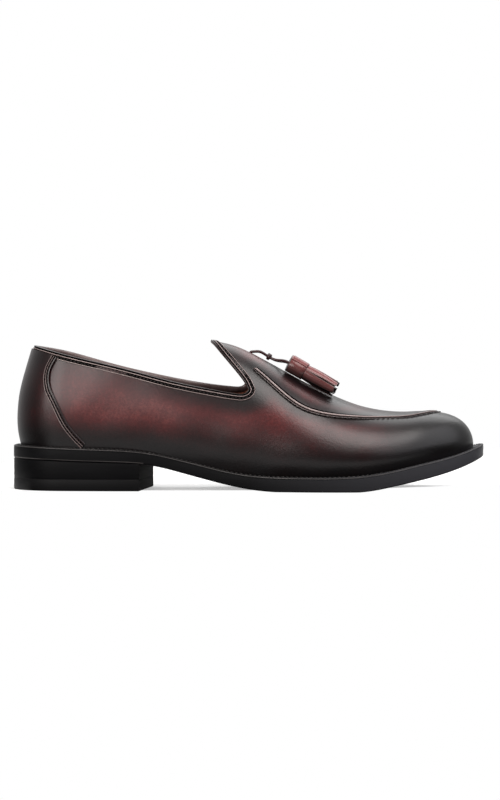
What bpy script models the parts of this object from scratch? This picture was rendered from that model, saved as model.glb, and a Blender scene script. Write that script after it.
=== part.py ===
# A right tassel loafer: burnished calf upper, leather sole, stacked heel, two tassels on a thin lace.
# Sizes are millimetres. x runs from the back of the sole to the toe, y from the outer side of the
# foot (lateral, negative) to the inner side (medial, positive), and z up from the floor.

import math

import bmesh
import bpy
import numpy as np
from mathutils import Matrix, Vector

MM = 0.001
LATERAL, MEDIAL = -1, 1

# Driving sizes
SOLE_LENGTH = 305.0
LAST_LENGTH = 298.5
GAP = 0.3
WALL = 1.8
SOLE_HEEL_ROUND, SOLE_TOE_ROUND = 34.0, 85.0
LAST_HEEL_ROUND, LAST_TOE_ROUND = 30.0, 80.0
HEEL_POWER, TOE_POWER = 2.1, 2.2
TOE_DROP = 40.0
LIFT_HEIGHT = 7.4
BREAST_LATERAL, BREAST_MEDIAL = 83.0, 89.5
INSOLE_THICKNESS = 3.0
COUNTER_THICKNESS = 1.0
BEAD_HEIGHT, BEAD_WIDTH, BEAD_SIDES = 2.2, 2.6, 8
THROAT_ROUND, THROAT_RISE, THROAT_FREE = 8.5, 6.0, 0.5
SOLE_EDGE_ROUND = 0.7
SOLE_FOOT_ROUND, SOLE_FOOT_HEIGHT = 1.4, 1.2
HEEL_INSET = 0.1
HEEL_EDGE_ROUND = 0.5
INSOLE_INSET = 0.6


def spline(places, values):
    """Smooth curve through the points of a table, straight at its two ends."""
    places = np.array(places, float)
    values = np.array(values, float)
    gaps = np.diff(places)
    slopes = np.diff(values) / gaps
    size = len(places)
    matrix = np.eye(size)
    right = np.zeros(size)
    for i in range(1, size - 1):
        matrix[i, i - 1:i + 2] = gaps[i - 1], 2 * (gaps[i - 1] + gaps[i]), gaps[i]
        right[i] = 6 * (slopes[i] - slopes[i - 1])
    bends = np.linalg.solve(matrix, right)

    def value(place):
        place = np.clip(place, places[0], places[-1])
        i = np.clip(np.searchsorted(places, place) - 1, 0, size - 2)
        left = places[i + 1] - place
        past = place - places[i]
        curved = (bends[i] * left ** 3 + bends[i + 1] * past ** 3) / (6 * gaps[i])
        low = (values[i] / gaps[i] - bends[i] * gaps[i] / 6) * left
        high = (values[i + 1] / gaps[i] - bends[i + 1] * gaps[i] / 6) * past
        return curved + low + high

    return value


def table(names, rows):
    """One smooth curve for each named column, over the first column."""
    columns = list(zip(*rows))
    return {name: spline(columns[0], column) for name, column in zip(names[1:], columns[1:])}


# Plan and profile of the sole. The floor cuts off what the bottom column has below zero.
SOLE = table(("station", "centre", "half_width", "top", "bottom"), [
    (0, 4.0, 33.0, 28.6, 20.3),
    (22, 2.4, 33.3, 27.9, 19.5),
    (43, 0.8, 33.5, 27.1, 18.7),
    (65, -1.4, 33.0, 26.4, 18.1),
    (83, -3.0, 31.5, 25.1, 17.2),
    (95, -4.0, 30.4, 23.2, 15.4),
    (106, -4.6, 30.0, 20.7, 12.7),
    (120, -4.8, 31.0, 17.3, 8.9),
    (137, -4.5, 33.8, 13.2, 4.6),
    (152, -3.6, 37.8, 10.7, 1.6),
    (167, -2.6, 42.4, 9.6, 0.1),
    (185, -1.2, 47.8, 9.3, -0.4),
    (213, 1.2, 52.0, 9.5, -0.4),
    (228, 2.4, 51.6, 10.7, 0.6),
    (243, 3.8, 50.0, 13.1, 3.2),
    (262, 5.2, 47.5, 17.2, 7.2),
    (278, 6.2, 45.5, 20.7, 11.2),
    (292, 7.0, 44.0, 24.6, 15.8),
    (305, 7.6, 43.0, 29.2, 21.2),
])

# The last. Half widths are at the fullest place of each section, and tuck is the share by which it
# draws in to the sole. Behind the tongue the ridge is where the foot would go on.
LAST = table(("station", "lateral", "medial", "tuck_lateral", "tuck_medial", "ridge", "square"), [
    (0, 30.5, 30.5, 0.06, 0.06, 138.0, 2.2),
    (40, 31.2, 31.0, 0.07, 0.07, 138.0, 2.2),
    (70, 30.8, 30.0, 0.08, 0.10, 133.0, 2.2),
    (95, 31.2, 29.4, 0.11, 0.16, 118.0, 2.2),
    (112, 32.2, 30.0, 0.12, 0.18, 104.0, 2.3),
    (128, 33.6, 31.6, 0.12, 0.17, 96.4, 2.4),
    (140, 35.2, 33.8, 0.11, 0.14, 93.6, 2.4),
    (152, 37.2, 36.8, 0.11, 0.12, 88.9, 2.4),
    (164, 39.7, 40.0, 0.10, 0.10, 82.6, 2.3),
    (176, 42.4, 43.0, 0.10, 0.09, 75.9, 2.2),
    (192, 45.6, 46.0, 0.09, 0.08, 67.4, 2.1),
    (210, 47.6, 48.2, 0.09, 0.08, 59.0, 2.1),
    (222, 47.8, 48.6, 0.08, 0.08, 54.6, 2.2),
    (236, 46.8, 48.0, 0.08, 0.07, 51.2, 2.3),
    (252, 44.8, 46.0, 0.07, 0.07, 49.9, 2.4),
    (266, 43.0, 44.0, 0.06, 0.06, 50.8, 2.5),
    (282, 41.0, 42.0, 0.06, 0.06, 54.4, 2.5),
    (298.5, 39.0, 40.0, 0.05, 0.05, 61.0, 2.5),
])
FULLEST_PLACE = 0.34
LEAN_LENGTH = 80.0
LEAN = table(("height", "forward"), [
    (28, 6.0),
    (38, 4.0),
    (50, 3.7),
    (64, 5.4),
    (77, 8.8),
    (90, 12.7),
    (100, 16.0),
])["forward"]

# Heights of the finished collar edge on each side, and how the tongue's edge runs from the throat
# up to its tip, which is 1 on the way.
COLLAR = table(("station", "lateral", "medial"), [
    (0, 93.0, 93.0),
    (18, 88.7, 90.3),
    (46, 83.3, 84.6),
    (75, 77.3, 78.0),
    (102, 70.2, 72.2),
    (128, 64.9, 67.8),
    (146, 62.0, 66.0),
    (155, 61.2, 65.6),
])
THROAT_STATION = {LATERAL: 151.7, MEDIAL: 149.5}
TONGUE_TIP = 128.0
TONGUE_EDGE = spline((0, 0.09, 0.22, 0.37, 0.58, 0.80, 0.93, 1), (1, 0.91, 0.70, 0.46, 0.22, 0.07, 0.01, 0))
SIDE_ROWS = (0, 0.12, 0.25, 0.40, 0.55, 0.70, 0.85, 1)
TONGUE_ROWS = (0, 0.09, 0.22, 0.37, 0.55, 0.77, 1)

# The apron's raised seam, as a share of the last's half width, and the heel panel's front edge.
APRON_START, APRON_END, APRON_ROUND = 156.0, 274.5, 26.0
APRON_SHARE = table(("station", "share"), [
    (150, 0.53),
    (157, 0.565),
    (168, 0.635),
    (185, 0.715),
    (198, 0.70),
    (212, 0.65),
    (225, 0.60),
    (237, 0.545),
    (249, 0.51),
    (262, 0.52),
    (275, 0.53),
])["share"]
SEAM_SECTION = ((-1.7, 0.3), (1.7, 0.3), (1.3, 1.2), (0, 1.7), (-1.3, 1.2))
COUNTER_EDGE = table(("height", "station"), [
    (27, 45.0),
    (36, 37.0),
    (45, 30.8),
    (58, 24.0),
    (65, 19.5),
    (73, 16.2),
    (80, 15.4),
    (87, 17.0),
    (95, 20.0),
])["station"]
COUNTER_ROWS, COUNTER_COLUMNS = 8, 7
COUNTER_LOW, COUNTER_HIGH, COUNTER_MARGIN = 29.5, 89.5, 0.8

# Tassels, lace and knot
HEAD_LENGTH, HEAD_RADIUS, HEAD_BORE, HEAD_SIDES = 11.4, 6.0, 1.7, 18
HEAD_PROFILE = (
    (0, HEAD_BORE),
    (0, HEAD_RADIUS - 0.8),
    (0.8, HEAD_RADIUS),
    (HEAD_LENGTH - 0.4, HEAD_RADIUS),
    (HEAD_LENGTH, HEAD_RADIUS - 0.4),
    (HEAD_LENGTH, HEAD_BORE),
)
FRINGE_LENGTH, FRINGE_RADIUS, FRINGE_STRIPS = 21.0, 5.2, 11
FRINGE_PROFILE = (
    (0, 4.6),
    (2.5, 4.8),
    (10, 5.0),
    (17, FRINGE_RADIUS),
    (FRINGE_LENGTH, FRINGE_RADIUS),
    (FRINGE_LENGTH - 1.5, 2.2),
)
STRIP_CORNERS, STRIP_GROOVE, STRIP_STEP = 4, 0.78, 0.9
TASSEL_REST = 0.5
TASSELS = {
    "lateral": {"head": (175.8, -8.5), "tip": (207.0, -12.5)},
    "medial": {"head": (175.2, 5.4), "tip": (206.0, 8.0)},
}
LACE_RADIUS = 0.9
LACE_STEP = 3.6
LACE_BEFORE_HEAD, LACE_IN_HEAD = 0.2, 8.5
LACE_ROUTES = {
    "lateral": [(155.6, -3.6, 88.7), (159.6, -2.9, 88.6), (163.4, -1.3, 86.6), (167.4, -1.2, 84.2),
                (171.0, -2.6, 83.2), (174.8, -5.2, 82.9)],
    "medial": [(155.2, 3.8, 88.7), (159.4, 3.1, 88.8), (163.4, 1.3, 86.6), (167.4, 1.2, 84.2),
               (171.0, 2.0, 82.8), (174.8, 3.6, 82.3)],
}
KNOT_LENGTH, KNOT_WIDTH, KNOT_HEIGHT, KNOT_WALL, KNOT_SIDES = 3.2, 6.4, 4.4, 0.8, 16
KNOT_PROFILE = ((-1, 0.4), (-0.6, 0), (0.6, 0), (1, 0.4), (1, KNOT_WALL), (-1, KNOT_WALL))
KNOT_PLACE, KNOT_SLOPE = (165.4, 0.0, 85.4), -31.0


def cap(distance, reach, power):
    """Rounds a width off to nothing over the last stretch before an end."""
    share = np.clip(distance / reach, 0, 1)
    return (1 - (1 - share) ** power) ** (1 / power)


def rounded_stations(start_round, length, end_round, start_count, middle_count, end_count):
    """Stations that lie evenly along an outline with round ends."""
    start = [start_round * (1 - math.cos(math.pi / 2 * i / start_count)) for i in range(start_count)]
    middle = list(np.linspace(start_round, length - end_round, middle_count + 1))
    end = [length - end_round * (1 - math.sin(math.pi / 2 * i / end_count)) for i in range(1, end_count + 1)]
    return start + middle + end


def sole_edge(x, side):
    rounding = cap(x, SOLE_HEEL_ROUND, HEEL_POWER) * cap(SOLE_LENGTH - x, SOLE_TOE_ROUND, TOE_POWER)
    return SOLE["centre"](x) + side * SOLE["half_width"](x) * rounding


def sole_bottom(x):
    return np.maximum(SOLE["bottom"](x), 0)


def lean(station, height):
    """How far a place near the heel lies forward of its station."""
    share = np.clip(station / LEAN_LENGTH, 0, 1)
    return LEAN(height) * (1 - share) ** 2 * (1 + 2 * share)


def feather_height(station):
    return SOLE["top"](station + lean(station, 28)) + GAP


def section_height(station):
    return (LAST["ridge"](station) - feather_height(station)) * cap(LAST_LENGTH - station, TOE_DROP, 2)


def last_point(station, share, side):
    """Outside of the upper: share runs from 0 at the sole to 1 on the ridge."""
    name = "lateral" if side == LATERAL else "medial"
    power = 2 / LAST["square"](station)
    rise = np.sin(math.pi / 2 * share) ** power
    across = 0 if share >= 1 else np.cos(math.pi / 2 * share) ** power
    height = feather_height(station) + section_height(station) * rise
    drawn_in = LAST["tuck_" + name](station) * np.clip(1 - rise / FULLEST_PLACE, 0, 1) ** 2
    heel = cap(station, LAST_HEEL_ROUND, HEEL_POWER)
    toe = cap(LAST_LENGTH - station, LAST_TOE_ROUND, TOE_POWER)
    half = LAST[name](station) * heel * toe
    y = SOLE["centre"](station) + side * half * across * (1 - drawn_in)
    return np.array((station + lean(station, height), y, height))


def share_at_height(station, height):
    rise = np.clip((height - feather_height(station)) / section_height(station), 0, 1)
    return 2 / math.pi * math.asin(rise ** (LAST["square"](station) / 2))


def around_point(station, around):
    """The same surface with around running from 0 at the lateral sole edge over 1 to 2."""
    if around <= 1:
        return last_point(station, around, LATERAL)
    return last_point(station, 2 - around, MEDIAL)


def surface_frame(station, around):
    """A place on the upper and the direction straight out of it."""
    along = around_point(station + 0.2, around) - around_point(station - 0.2, around)
    over = around_point(station, around + 0.01) - around_point(station, around - 0.01)
    out = np.cross(along, over)
    return around_point(station, around), out / np.linalg.norm(out)


def around_at(station, y):
    """Where the section at a station passes over a given y, near the ridge."""
    side = LATERAL if y < SOLE["centre"](station) else MEDIAL
    half = LAST["lateral" if side == LATERAL else "medial"](station)
    across = min(abs(y - SOLE["centre"](station)) / half, 1)
    share = 2 / math.pi * math.acos(across ** (LAST["square"](station) / 2))
    return share if side == LATERAL else 2 - share


def welded(points, faces):
    """The same faces with points that share a place made one."""
    index = {}
    kept = []
    places = []
    for point in points:
        key = tuple(np.round(point, 2) + 0.0)
        if key not in index:
            index[key] = len(kept)
            kept.append(point)
        places.append(index[key])
    merged = []
    for face in faces:
        corners = [places[i] for i in face]
        corners = [corner for i, corner in enumerate(corners) if corner != corners[i - 1]]
        if len(corners) > 2:
            merged.append(corners)
    return np.array(kept), merged


def grid_faces(grid, side):
    """Quads over rows of point numbers, facing out of that side of the shoe."""
    faces = []
    for low, high in zip(grid, grid[1:]):
        for i in range(len(low) - 1):
            face = [low[i], low[i + 1], high[i + 1], high[i]]
            faces.append(face if side == LATERAL else face[::-1])
    return faces


def sheet_normals(points, faces):
    normals = np.zeros_like(points)
    for face in faces:
        corners = points[face]
        normals[face] += np.cross(corners[2] - corners[0], corners[-1] - corners[1])
    return normals / np.linalg.norm(normals, axis=1)[:, None]


def rim_edges(faces):
    """Edges that only one face uses, in that face's direction."""
    edges = {(a, b) for face in faces for a, b in zip(face, face[1:] + face[:1])}
    return [(a, b) for a, b in edges if (b, a) not in edges]


def shell(points, faces, normals, low, high):
    """Points and faces of a closed wall between two offsets of a sheet."""
    count = len(points)
    both = np.concatenate([points + normals * high, points + normals * low])
    inner = [[i + count for i in face[::-1]] for face in faces]
    rim = [[b, a, a + count, b + count] for a, b in sorted(rim_edges(faces))]
    return both, faces + inner + rim


def material(name, colour, roughness):
    made = bpy.data.materials.new(name)
    made.use_nodes = True
    shader = made.node_tree.nodes["Principled BSDF"]
    shader.inputs["Base Color"].default_value = (*colour, 1)
    shader.inputs["Roughness"].default_value = roughness
    shader.inputs["Metallic"].default_value = 0
    return made


def add_mesh(name, points, faces, parent, finish, sharp_angle=40):
    """A named object with outward faces, smooth except where it turns sharply."""
    mesh = bpy.data.meshes.new(name)
    mesh.from_pydata([tuple(point * MM) for point in np.asarray(points, float)], [], faces)
    shape = bmesh.new()
    shape.from_mesh(mesh)
    bmesh.ops.recalc_face_normals(shape, faces=shape.faces)
    bmesh.ops.triangulate(shape, faces=[face for face in shape.faces if len(face.verts) > 3])
    shape.to_mesh(mesh)
    shape.free()
    mesh.shade_smooth()
    mesh.set_sharp_from_angle(angle=math.radians(sharp_angle))
    mesh.materials.append(finish)
    made = bpy.data.objects.new(name, mesh)
    made.parent = parent
    bpy.context.collection.objects.link(made)
    return made


def ring_inset(ring, amount):
    """A closed outline moved inwards by an amount."""
    ring = np.array(ring)
    along = np.roll(ring, -1, axis=0) - np.roll(ring, 1, axis=0)
    along /= np.linalg.norm(along, axis=1)[:, None]
    turn = np.sign(np.sum(ring[:, 0] * np.roll(ring[:, 1], -1) - np.roll(ring[:, 0], -1) * ring[:, 1]))
    return ring + amount * turn * np.stack([-along[:, 1], along[:, 0]], axis=1)


def slab(name, ring, levels, parent, finish):
    """A solid from an outline that starts at the back: each level has an inset and a height."""
    count = len(ring)
    points = []
    for inset, height in levels:
        points += [(x, y, height(x)) for x, y in ring_inset(ring, inset)]
    faces = []
    for level in range(len(levels) - 1):
        for i in range(count):
            j = (i + 1) % count
            upper, lower = level * count, (level + 1) * count
            faces.append([upper + i, upper + j, lower + j, lower + i])
    for first in (0, (len(levels) - 1) * count):
        for i in range(count // 2):
            corners = [i, i + 1, count - i - 1, (count - i) % count]
            faces.append([first + corner for corner in dict.fromkeys(corners)])
    return add_mesh(name, points, faces, parent, finish)


def sole_ring(stations):
    lateral = [(x, sole_edge(x, LATERAL)) for x in stations]
    medial = [(x, sole_edge(x, MEDIAL)) for x in stations[1:-1]]
    return lateral + medial[::-1]


def make_outsole(parent, finish):
    stations = rounded_stations(SOLE_HEEL_ROUND, SOLE_LENGTH, SOLE_TOE_ROUND, 7, 20, 10)
    levels = [
        (SOLE_EDGE_ROUND, SOLE["top"]),
        (0, lambda x: SOLE["top"](x) - SOLE_EDGE_ROUND),
        (0, lambda x: sole_bottom(x) + SOLE_FOOT_HEIGHT),
        (SOLE_FOOT_ROUND, sole_bottom),
    ]
    return slab("outsole", sole_ring(stations), levels, parent, finish)


def heel_ring():
    round_part = [1 - math.cos(math.pi / 2 * i / 7) for i in range(8)]
    straight = [i / 4 for i in range(1, 5)]
    ring = {}
    for side, breast in ((LATERAL, BREAST_LATERAL), (MEDIAL, BREAST_MEDIAL)):
        stations = [SOLE_HEEL_ROUND * share for share in round_part]
        stations += [SOLE_HEEL_ROUND + (breast - SOLE_HEEL_ROUND) * share for share in straight]
        ring[side] = [(x, sole_edge(x, side)) for x in stations]
    return ring[LATERAL] + ring[MEDIAL][:0:-1]


def make_heel(parent, block_finish, lift_finish):
    block_levels = [
        (HEEL_EDGE_ROUND, lambda x: SOLE["bottom"](x) - GAP),
        (HEEL_INSET, lambda x: SOLE["bottom"](x) - GAP - HEEL_EDGE_ROUND),
        (HEEL_INSET, lambda x: LIFT_HEIGHT + GAP + HEEL_EDGE_ROUND),
        (HEEL_EDGE_ROUND, lambda x: LIFT_HEIGHT + GAP),
    ]
    lift_levels = [
        (HEEL_EDGE_ROUND, lambda x: LIFT_HEIGHT),
        (HEEL_INSET, lambda x: LIFT_HEIGHT - HEEL_EDGE_ROUND),
        (0, lambda x: HEEL_EDGE_ROUND),
        (HEEL_EDGE_ROUND, lambda x: 0.0),
    ]
    slab("heel_block", heel_ring(), block_levels, parent, block_finish)
    slab("top_lift", heel_ring(), lift_levels, parent, lift_finish)


def make_insole(parent, finish):
    stations = rounded_stations(LAST_HEEL_ROUND, LAST_LENGTH, LAST_TOE_ROUND, 6, 13, 7)
    lateral = [last_point(s, 0, LATERAL)[:2] for s in stations]
    medial = [last_point(s, 0, MEDIAL)[:2] for s in stations[1:-1]]
    levels = [
        (WALL + 2 * INSOLE_INSET, lambda x: SOLE["top"](x) + GAP + INSOLE_THICKNESS),
        (WALL + INSOLE_INSET, lambda x: SOLE["top"](x) + GAP + INSOLE_THICKNESS - INSOLE_INSET),
        (WALL + INSOLE_INSET, lambda x: SOLE["top"](x) + GAP),
    ]
    return slab("insole", lateral + medial[::-1], levels, parent, finish)


def collar_wall_height(station, side):
    """Top of the wall under the collar's bead, turned up round the throat."""
    name = "lateral" if side == LATERAL else "medial"
    start = wall_throat(side) - THROAT_ROUND
    share = np.clip((station - start) / THROAT_ROUND, 0, 1)
    return COLLAR[name](station) - BEAD_HEIGHT - GAP + THROAT_RISE * (1 - math.sqrt(1 - share ** 2))


def wall_throat(side):
    return THROAT_STATION[side] + BEAD_HEIGHT + GAP + THROAT_FREE


def upper_sheet():
    """Outside of the upper as a sheet, with the line of points along its top edge."""
    heel = [LAST_HEEL_ROUND * (1 - math.cos(math.pi / 2 * i / 7)) for i in range(7)]
    fractions = [1 - (1 - i / 19) ** 1.6 for i in range(20)]
    points = []
    faces = []
    top_edge = {}
    for side in (LATERAL, MEDIAL):
        throat = wall_throat(side)
        middle = list(np.linspace(LAST_HEEL_ROUND, throat - THROAT_ROUND, 11))
        turn = [throat - THROAT_ROUND * (1 - math.sin(math.pi / 2 * i / 4)) for i in range(1, 5)]
        rear = heel + middle + turn
        front = [throat + (LAST_LENGTH - throat) * share for share in fractions]
        throat_share = share_at_height(throat, collar_wall_height(throat, side))
        tops = [share_at_height(s, collar_wall_height(s, side)) for s in rear]
        tops += [throat_share] * (len(front) - 1)
        grid = []
        for row in SIDE_ROWS:
            line = [last_point(s, top * row, side) for s, top in zip(rear + front[1:], tops)]
            grid.append(list(range(len(points), len(points) + len(line))))
            points += line
        faces += grid_faces(grid, side)
        tongue = []
        for row in TONGUE_ROWS:
            tip = TONGUE_TIP + BEAD_HEIGHT + GAP
            edge = tip + (throat - tip) * TONGUE_EDGE(row)
            share = throat_share + (1 - throat_share) * row
            line = [last_point(edge + (LAST_LENGTH - edge) * part, share, side) for part in fractions]
            tongue.append(list(range(len(points), len(points) + len(line))))
            points += line
        faces += grid_faces(tongue, side)
        top_edge[side] = [points[i] for i in grid[-1][:len(rear)]] + [points[row[0]] for row in tongue[1:]]
    loop = top_edge[LATERAL] + top_edge[MEDIAL][-2:0:-1]
    points, faces = welded(points, faces)
    return points, faces, np.array(loop)


def make_upper(parent, finish):
    points, faces, loop = upper_sheet()
    normals = sheet_normals(points, faces)
    low = points[:, 2] < [feather_height(x) + 0.05 for x in points[:, 0]]
    flat = normals * (1, 1, 0)
    normals = np.where(low[:, None], flat / np.linalg.norm(flat, axis=1)[:, None], normals)
    solid = shell(points, faces, normals, -WALL, 0)
    add_mesh("upper", *solid, parent, finish, 50)
    nearest = [int(np.argmin(np.linalg.norm(points - place, axis=1))) for place in loop]
    return loop, normals[nearest]


def make_counter(parent, finish):
    """The heel panel, laid over the back of the upper from its own surface."""
    points = []
    faces = []
    for side in (LATERAL, MEDIAL):
        grid = []
        for row in range(COUNTER_ROWS + 1):
            way = row / COUNTER_ROWS
            edge = COUNTER_EDGE(COUNTER_LOW + (COUNTER_HIGH - COUNTER_LOW) * way)
            line = []
            for column in range(COUNTER_COLUMNS + 1):
                station = heel_station(heel_distance(edge) * column / COUNTER_COLUMNS)
                low = feather_height(station) + COUNTER_MARGIN
                high = collar_wall_height(station, side)
                line.append(last_point(station, share_at_height(station, low + (high - low) * way), side))
            grid.append(list(range(len(points), len(points) + len(line))))
            points += line
        faces += grid_faces(grid, side)
    points, faces = welded(points, faces)
    solid = shell(points, faces, sheet_normals(points, faces), GAP, GAP + COUNTER_THICKNESS)
    return add_mesh("counter", *solid, parent, finish, 50)


def heel_station(distance):
    """Station after a way round the heel, measured along its outline in plan."""
    quarter = LAST_HEEL_ROUND * math.pi / 2
    if distance < quarter:
        return LAST_HEEL_ROUND * (1 - math.cos(distance / LAST_HEEL_ROUND))
    return LAST_HEEL_ROUND + distance - quarter


def heel_distance(station):
    if station < LAST_HEEL_ROUND:
        return LAST_HEEL_ROUND * math.acos(1 - station / LAST_HEEL_ROUND)
    return LAST_HEEL_ROUND * math.pi / 2 + station - LAST_HEEL_ROUND


def sweep(path, outs, section, closed):
    """A bar along a path: its section has a place across and a place out at each corner."""
    path = np.asarray(path)
    outs = np.asarray(outs)
    if closed:
        along = np.roll(path, -1, axis=0) - np.roll(path, 1, axis=0)
    else:
        along = np.gradient(path, axis=0)
    along /= np.linalg.norm(along, axis=1)[:, None]
    across = np.cross(outs, along)
    across /= np.linalg.norm(across, axis=1)[:, None]
    size = len(section)
    points = [place + side * a + out * b for place, side, out in zip(path, across, outs) for a, b in section]
    faces = []
    count = len(path)
    for i in range(count if closed else count - 1):
        for j in range(size):
            here, there = i * size, (i + 1) % count * size
            faces.append([here + j, here + (j + 1) % size, there + (j + 1) % size, there + j])
    if not closed:
        faces += [list(range(size)), list(range((count - 1) * size, count * size))]
    return points, faces


def make_collar_bead(loop, outs, parent, finish):
    """The rounded edge that runs round the collar and the tongue, on top of the wall."""
    along = np.roll(loop, -1, axis=0) - np.roll(loop, 1, axis=0)
    up = np.cross(outs, along)
    up /= np.linalg.norm(up, axis=1)[:, None]
    middle = loop + up * (GAP + BEAD_HEIGHT / 2) - outs * WALL / 2
    section = []
    for i in range(BEAD_SIDES):
        angle = 2 * math.pi * (i + 0.5) / BEAD_SIDES
        section.append((BEAD_HEIGHT / 2 * math.cos(angle), BEAD_WIDTH / 2 * math.sin(angle)))
    return add_mesh("collar_bead", *sweep(middle, outs, section, True), parent, finish, 60)


def apron_path():
    """Places on the upper under the apron's seam, round the toe from side to side."""
    straight = list(np.linspace(APRON_START, APRON_END - APRON_ROUND, 15))
    turn = [APRON_END - APRON_ROUND * (1 - math.sin(math.pi / 2 * i / 6)) for i in range(1, 7)]
    frames = []
    for station in straight + turn:
        across = APRON_SHARE(station) * cap(APRON_END - station, APRON_ROUND, 2)
        share = 2 / math.pi * math.acos(across ** (LAST["square"](station) / 2))
        frames.append((station, share))
    lateral = [surface_frame(station, share) for station, share in frames]
    medial = [surface_frame(station, 2 - share) for station, share in frames[-2::-1]]
    return lateral + medial


def make_apron_seam(parent, finish):
    frames = apron_path()
    path = [place for place, out in frames]
    outs = [out for place, out in frames]
    return add_mesh("apron_seam", *sweep(path, outs, SEAM_SECTION, False), parent, finish, 60)


def lathe(profile, count, shape=None):
    """Rings of points round the x axis, from places along it and radii."""
    points = []
    for ring, (along, radius) in enumerate(profile):
        for i in range(count):
            angle = 2 * math.pi * i / count
            longer, wider = shape(ring, i) if shape else (0, 1)
            across = radius * wider * math.cos(angle)
            points.append((along + longer, across, radius * wider * math.sin(angle)))
    return points


def ring_faces(rings, count, closed):
    faces = []
    for ring in range(rings if closed else rings - 1):
        low, high = ring * count, (ring + 1) % rings * count
        for i in range(count):
            j = (i + 1) % count
            faces.append([low + i, low + j, high + j, high + i])
    if not closed:
        faces += [list(range(count))[::-1], list(range((rings - 1) * count, rings * count))]
    return faces


def tassel_ends(places):
    """Middle of the head's near face and of the fringe's far end, resting on the upper."""
    head, tip = places["head"], places["tip"]
    base, out = surface_frame(head[0], around_at(*head))
    start = base + out * (HEAD_RADIUS + TASSEL_REST)
    base, out = surface_frame(tip[0], around_at(*tip))
    return start, base + out * (FRINGE_RADIUS + TASSEL_REST)


def place_along(made, start, end):
    """Puts an object's own x axis on the line from start to end."""
    turn = Vector(end - start).to_track_quat("X", "Z")
    made.matrix_basis = Matrix.Translation(Vector(start) * MM) @ turn.to_matrix().to_4x4()


def make_tassel(name, places, parent, head_finish, fringe_finish):
    start, end = tassel_ends(places)
    faces = ring_faces(len(HEAD_PROFILE), HEAD_SIDES, True)
    head = add_mesh("tassel_head_" + name, lathe(HEAD_PROFILE, HEAD_SIDES), faces, parent, head_finish)
    place_along(head, start, end)

    corners = FRINGE_STRIPS * STRIP_CORNERS
    last = len(FRINGE_PROFILE) - 1

    def strips(ring, corner):
        groove = corner % STRIP_CORNERS == STRIP_CORNERS - 1
        shortened = -STRIP_STEP * (corner // STRIP_CORNERS % 3) if ring >= last - 1 else 0
        return shortened, STRIP_GROOVE if groove and 0 < ring < last else 1

    points = lathe(FRINGE_PROFILE, corners, strips)
    faces = ring_faces(len(FRINGE_PROFILE), corners, False)
    fringe = add_mesh("tassel_fringe_" + name, points, faces, parent, fringe_finish, 30)
    direction = (end - start) / np.linalg.norm(end - start)
    place_along(fringe, start + direction * (HEAD_LENGTH + GAP), end)
    return start, direction


def lace_points(name, start, direction):
    """The lace from the vamp through the knot and into the tassel's head, evenly spaced."""
    ends = [start - direction * LACE_BEFORE_HEAD, start + direction * LACE_IN_HEAD]
    route = np.array(LACE_ROUTES[name] + ends)
    steps = np.linalg.norm(np.diff(route, axis=0), axis=1)
    way = np.concatenate([[0], np.cumsum(steps)])
    curves = [spline(way, route[:, axis]) for axis in range(3)]
    count = round(way[-1] / LACE_STEP)
    return [tuple(curve(place) for curve in curves) for place in np.linspace(0, way[-1], count + 1)]


def make_lace(name, start, direction, parent, finish):
    curve = bpy.data.curves.new("lace_" + name, "CURVE")
    curve.dimensions = "3D"
    curve.bevel_depth = LACE_RADIUS * MM
    curve.bevel_resolution = 2
    curve.use_fill_caps = True
    points = lace_points(name, start, direction)
    line = curve.splines.new("POLY")
    line.points.add(len(points) - 1)
    for point, place in zip(line.points, points):
        point.co = (*(Vector(place) * MM), 1)
    curve.materials.append(finish)
    made = bpy.data.objects.new("lace_" + name, curve)
    made.parent = parent
    bpy.context.collection.objects.link(made)


def make_knot(parent, finish):
    """A wrapped turn of lace, as an oval sleeve round both laces."""
    points = []
    for along, inset in KNOT_PROFILE:
        for i in range(KNOT_SIDES):
            angle = 2 * math.pi * i / KNOT_SIDES
            across = (KNOT_WIDTH / 2 - inset) * math.cos(angle)
            points.append((KNOT_LENGTH / 2 * along, across, (KNOT_HEIGHT / 2 - inset) * math.sin(angle)))
    faces = ring_faces(len(KNOT_PROFILE), KNOT_SIDES, True)
    knot = add_mesh("lace_knot", points, faces, parent, finish)
    turn = Matrix.Rotation(math.radians(-KNOT_SLOPE), 4, "Y")
    knot.matrix_basis = Matrix.Translation(Vector(KNOT_PLACE) * MM) @ turn


def shoe_frame():
    """An empty that carries the shoe, with the middle of the sole's box over the origin."""
    stations = np.linspace(0, SOLE_LENGTH, 200)
    sides = [sole_edge(x, side) for x in stations for side in (LATERAL, MEDIAL)]
    frame = bpy.data.objects.new("loafer", None)
    frame.location = (-SOLE_LENGTH / 2 * MM, -(min(sides) + max(sides)) / 2 * MM, 0)
    bpy.context.collection.objects.link(frame)
    return frame


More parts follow.
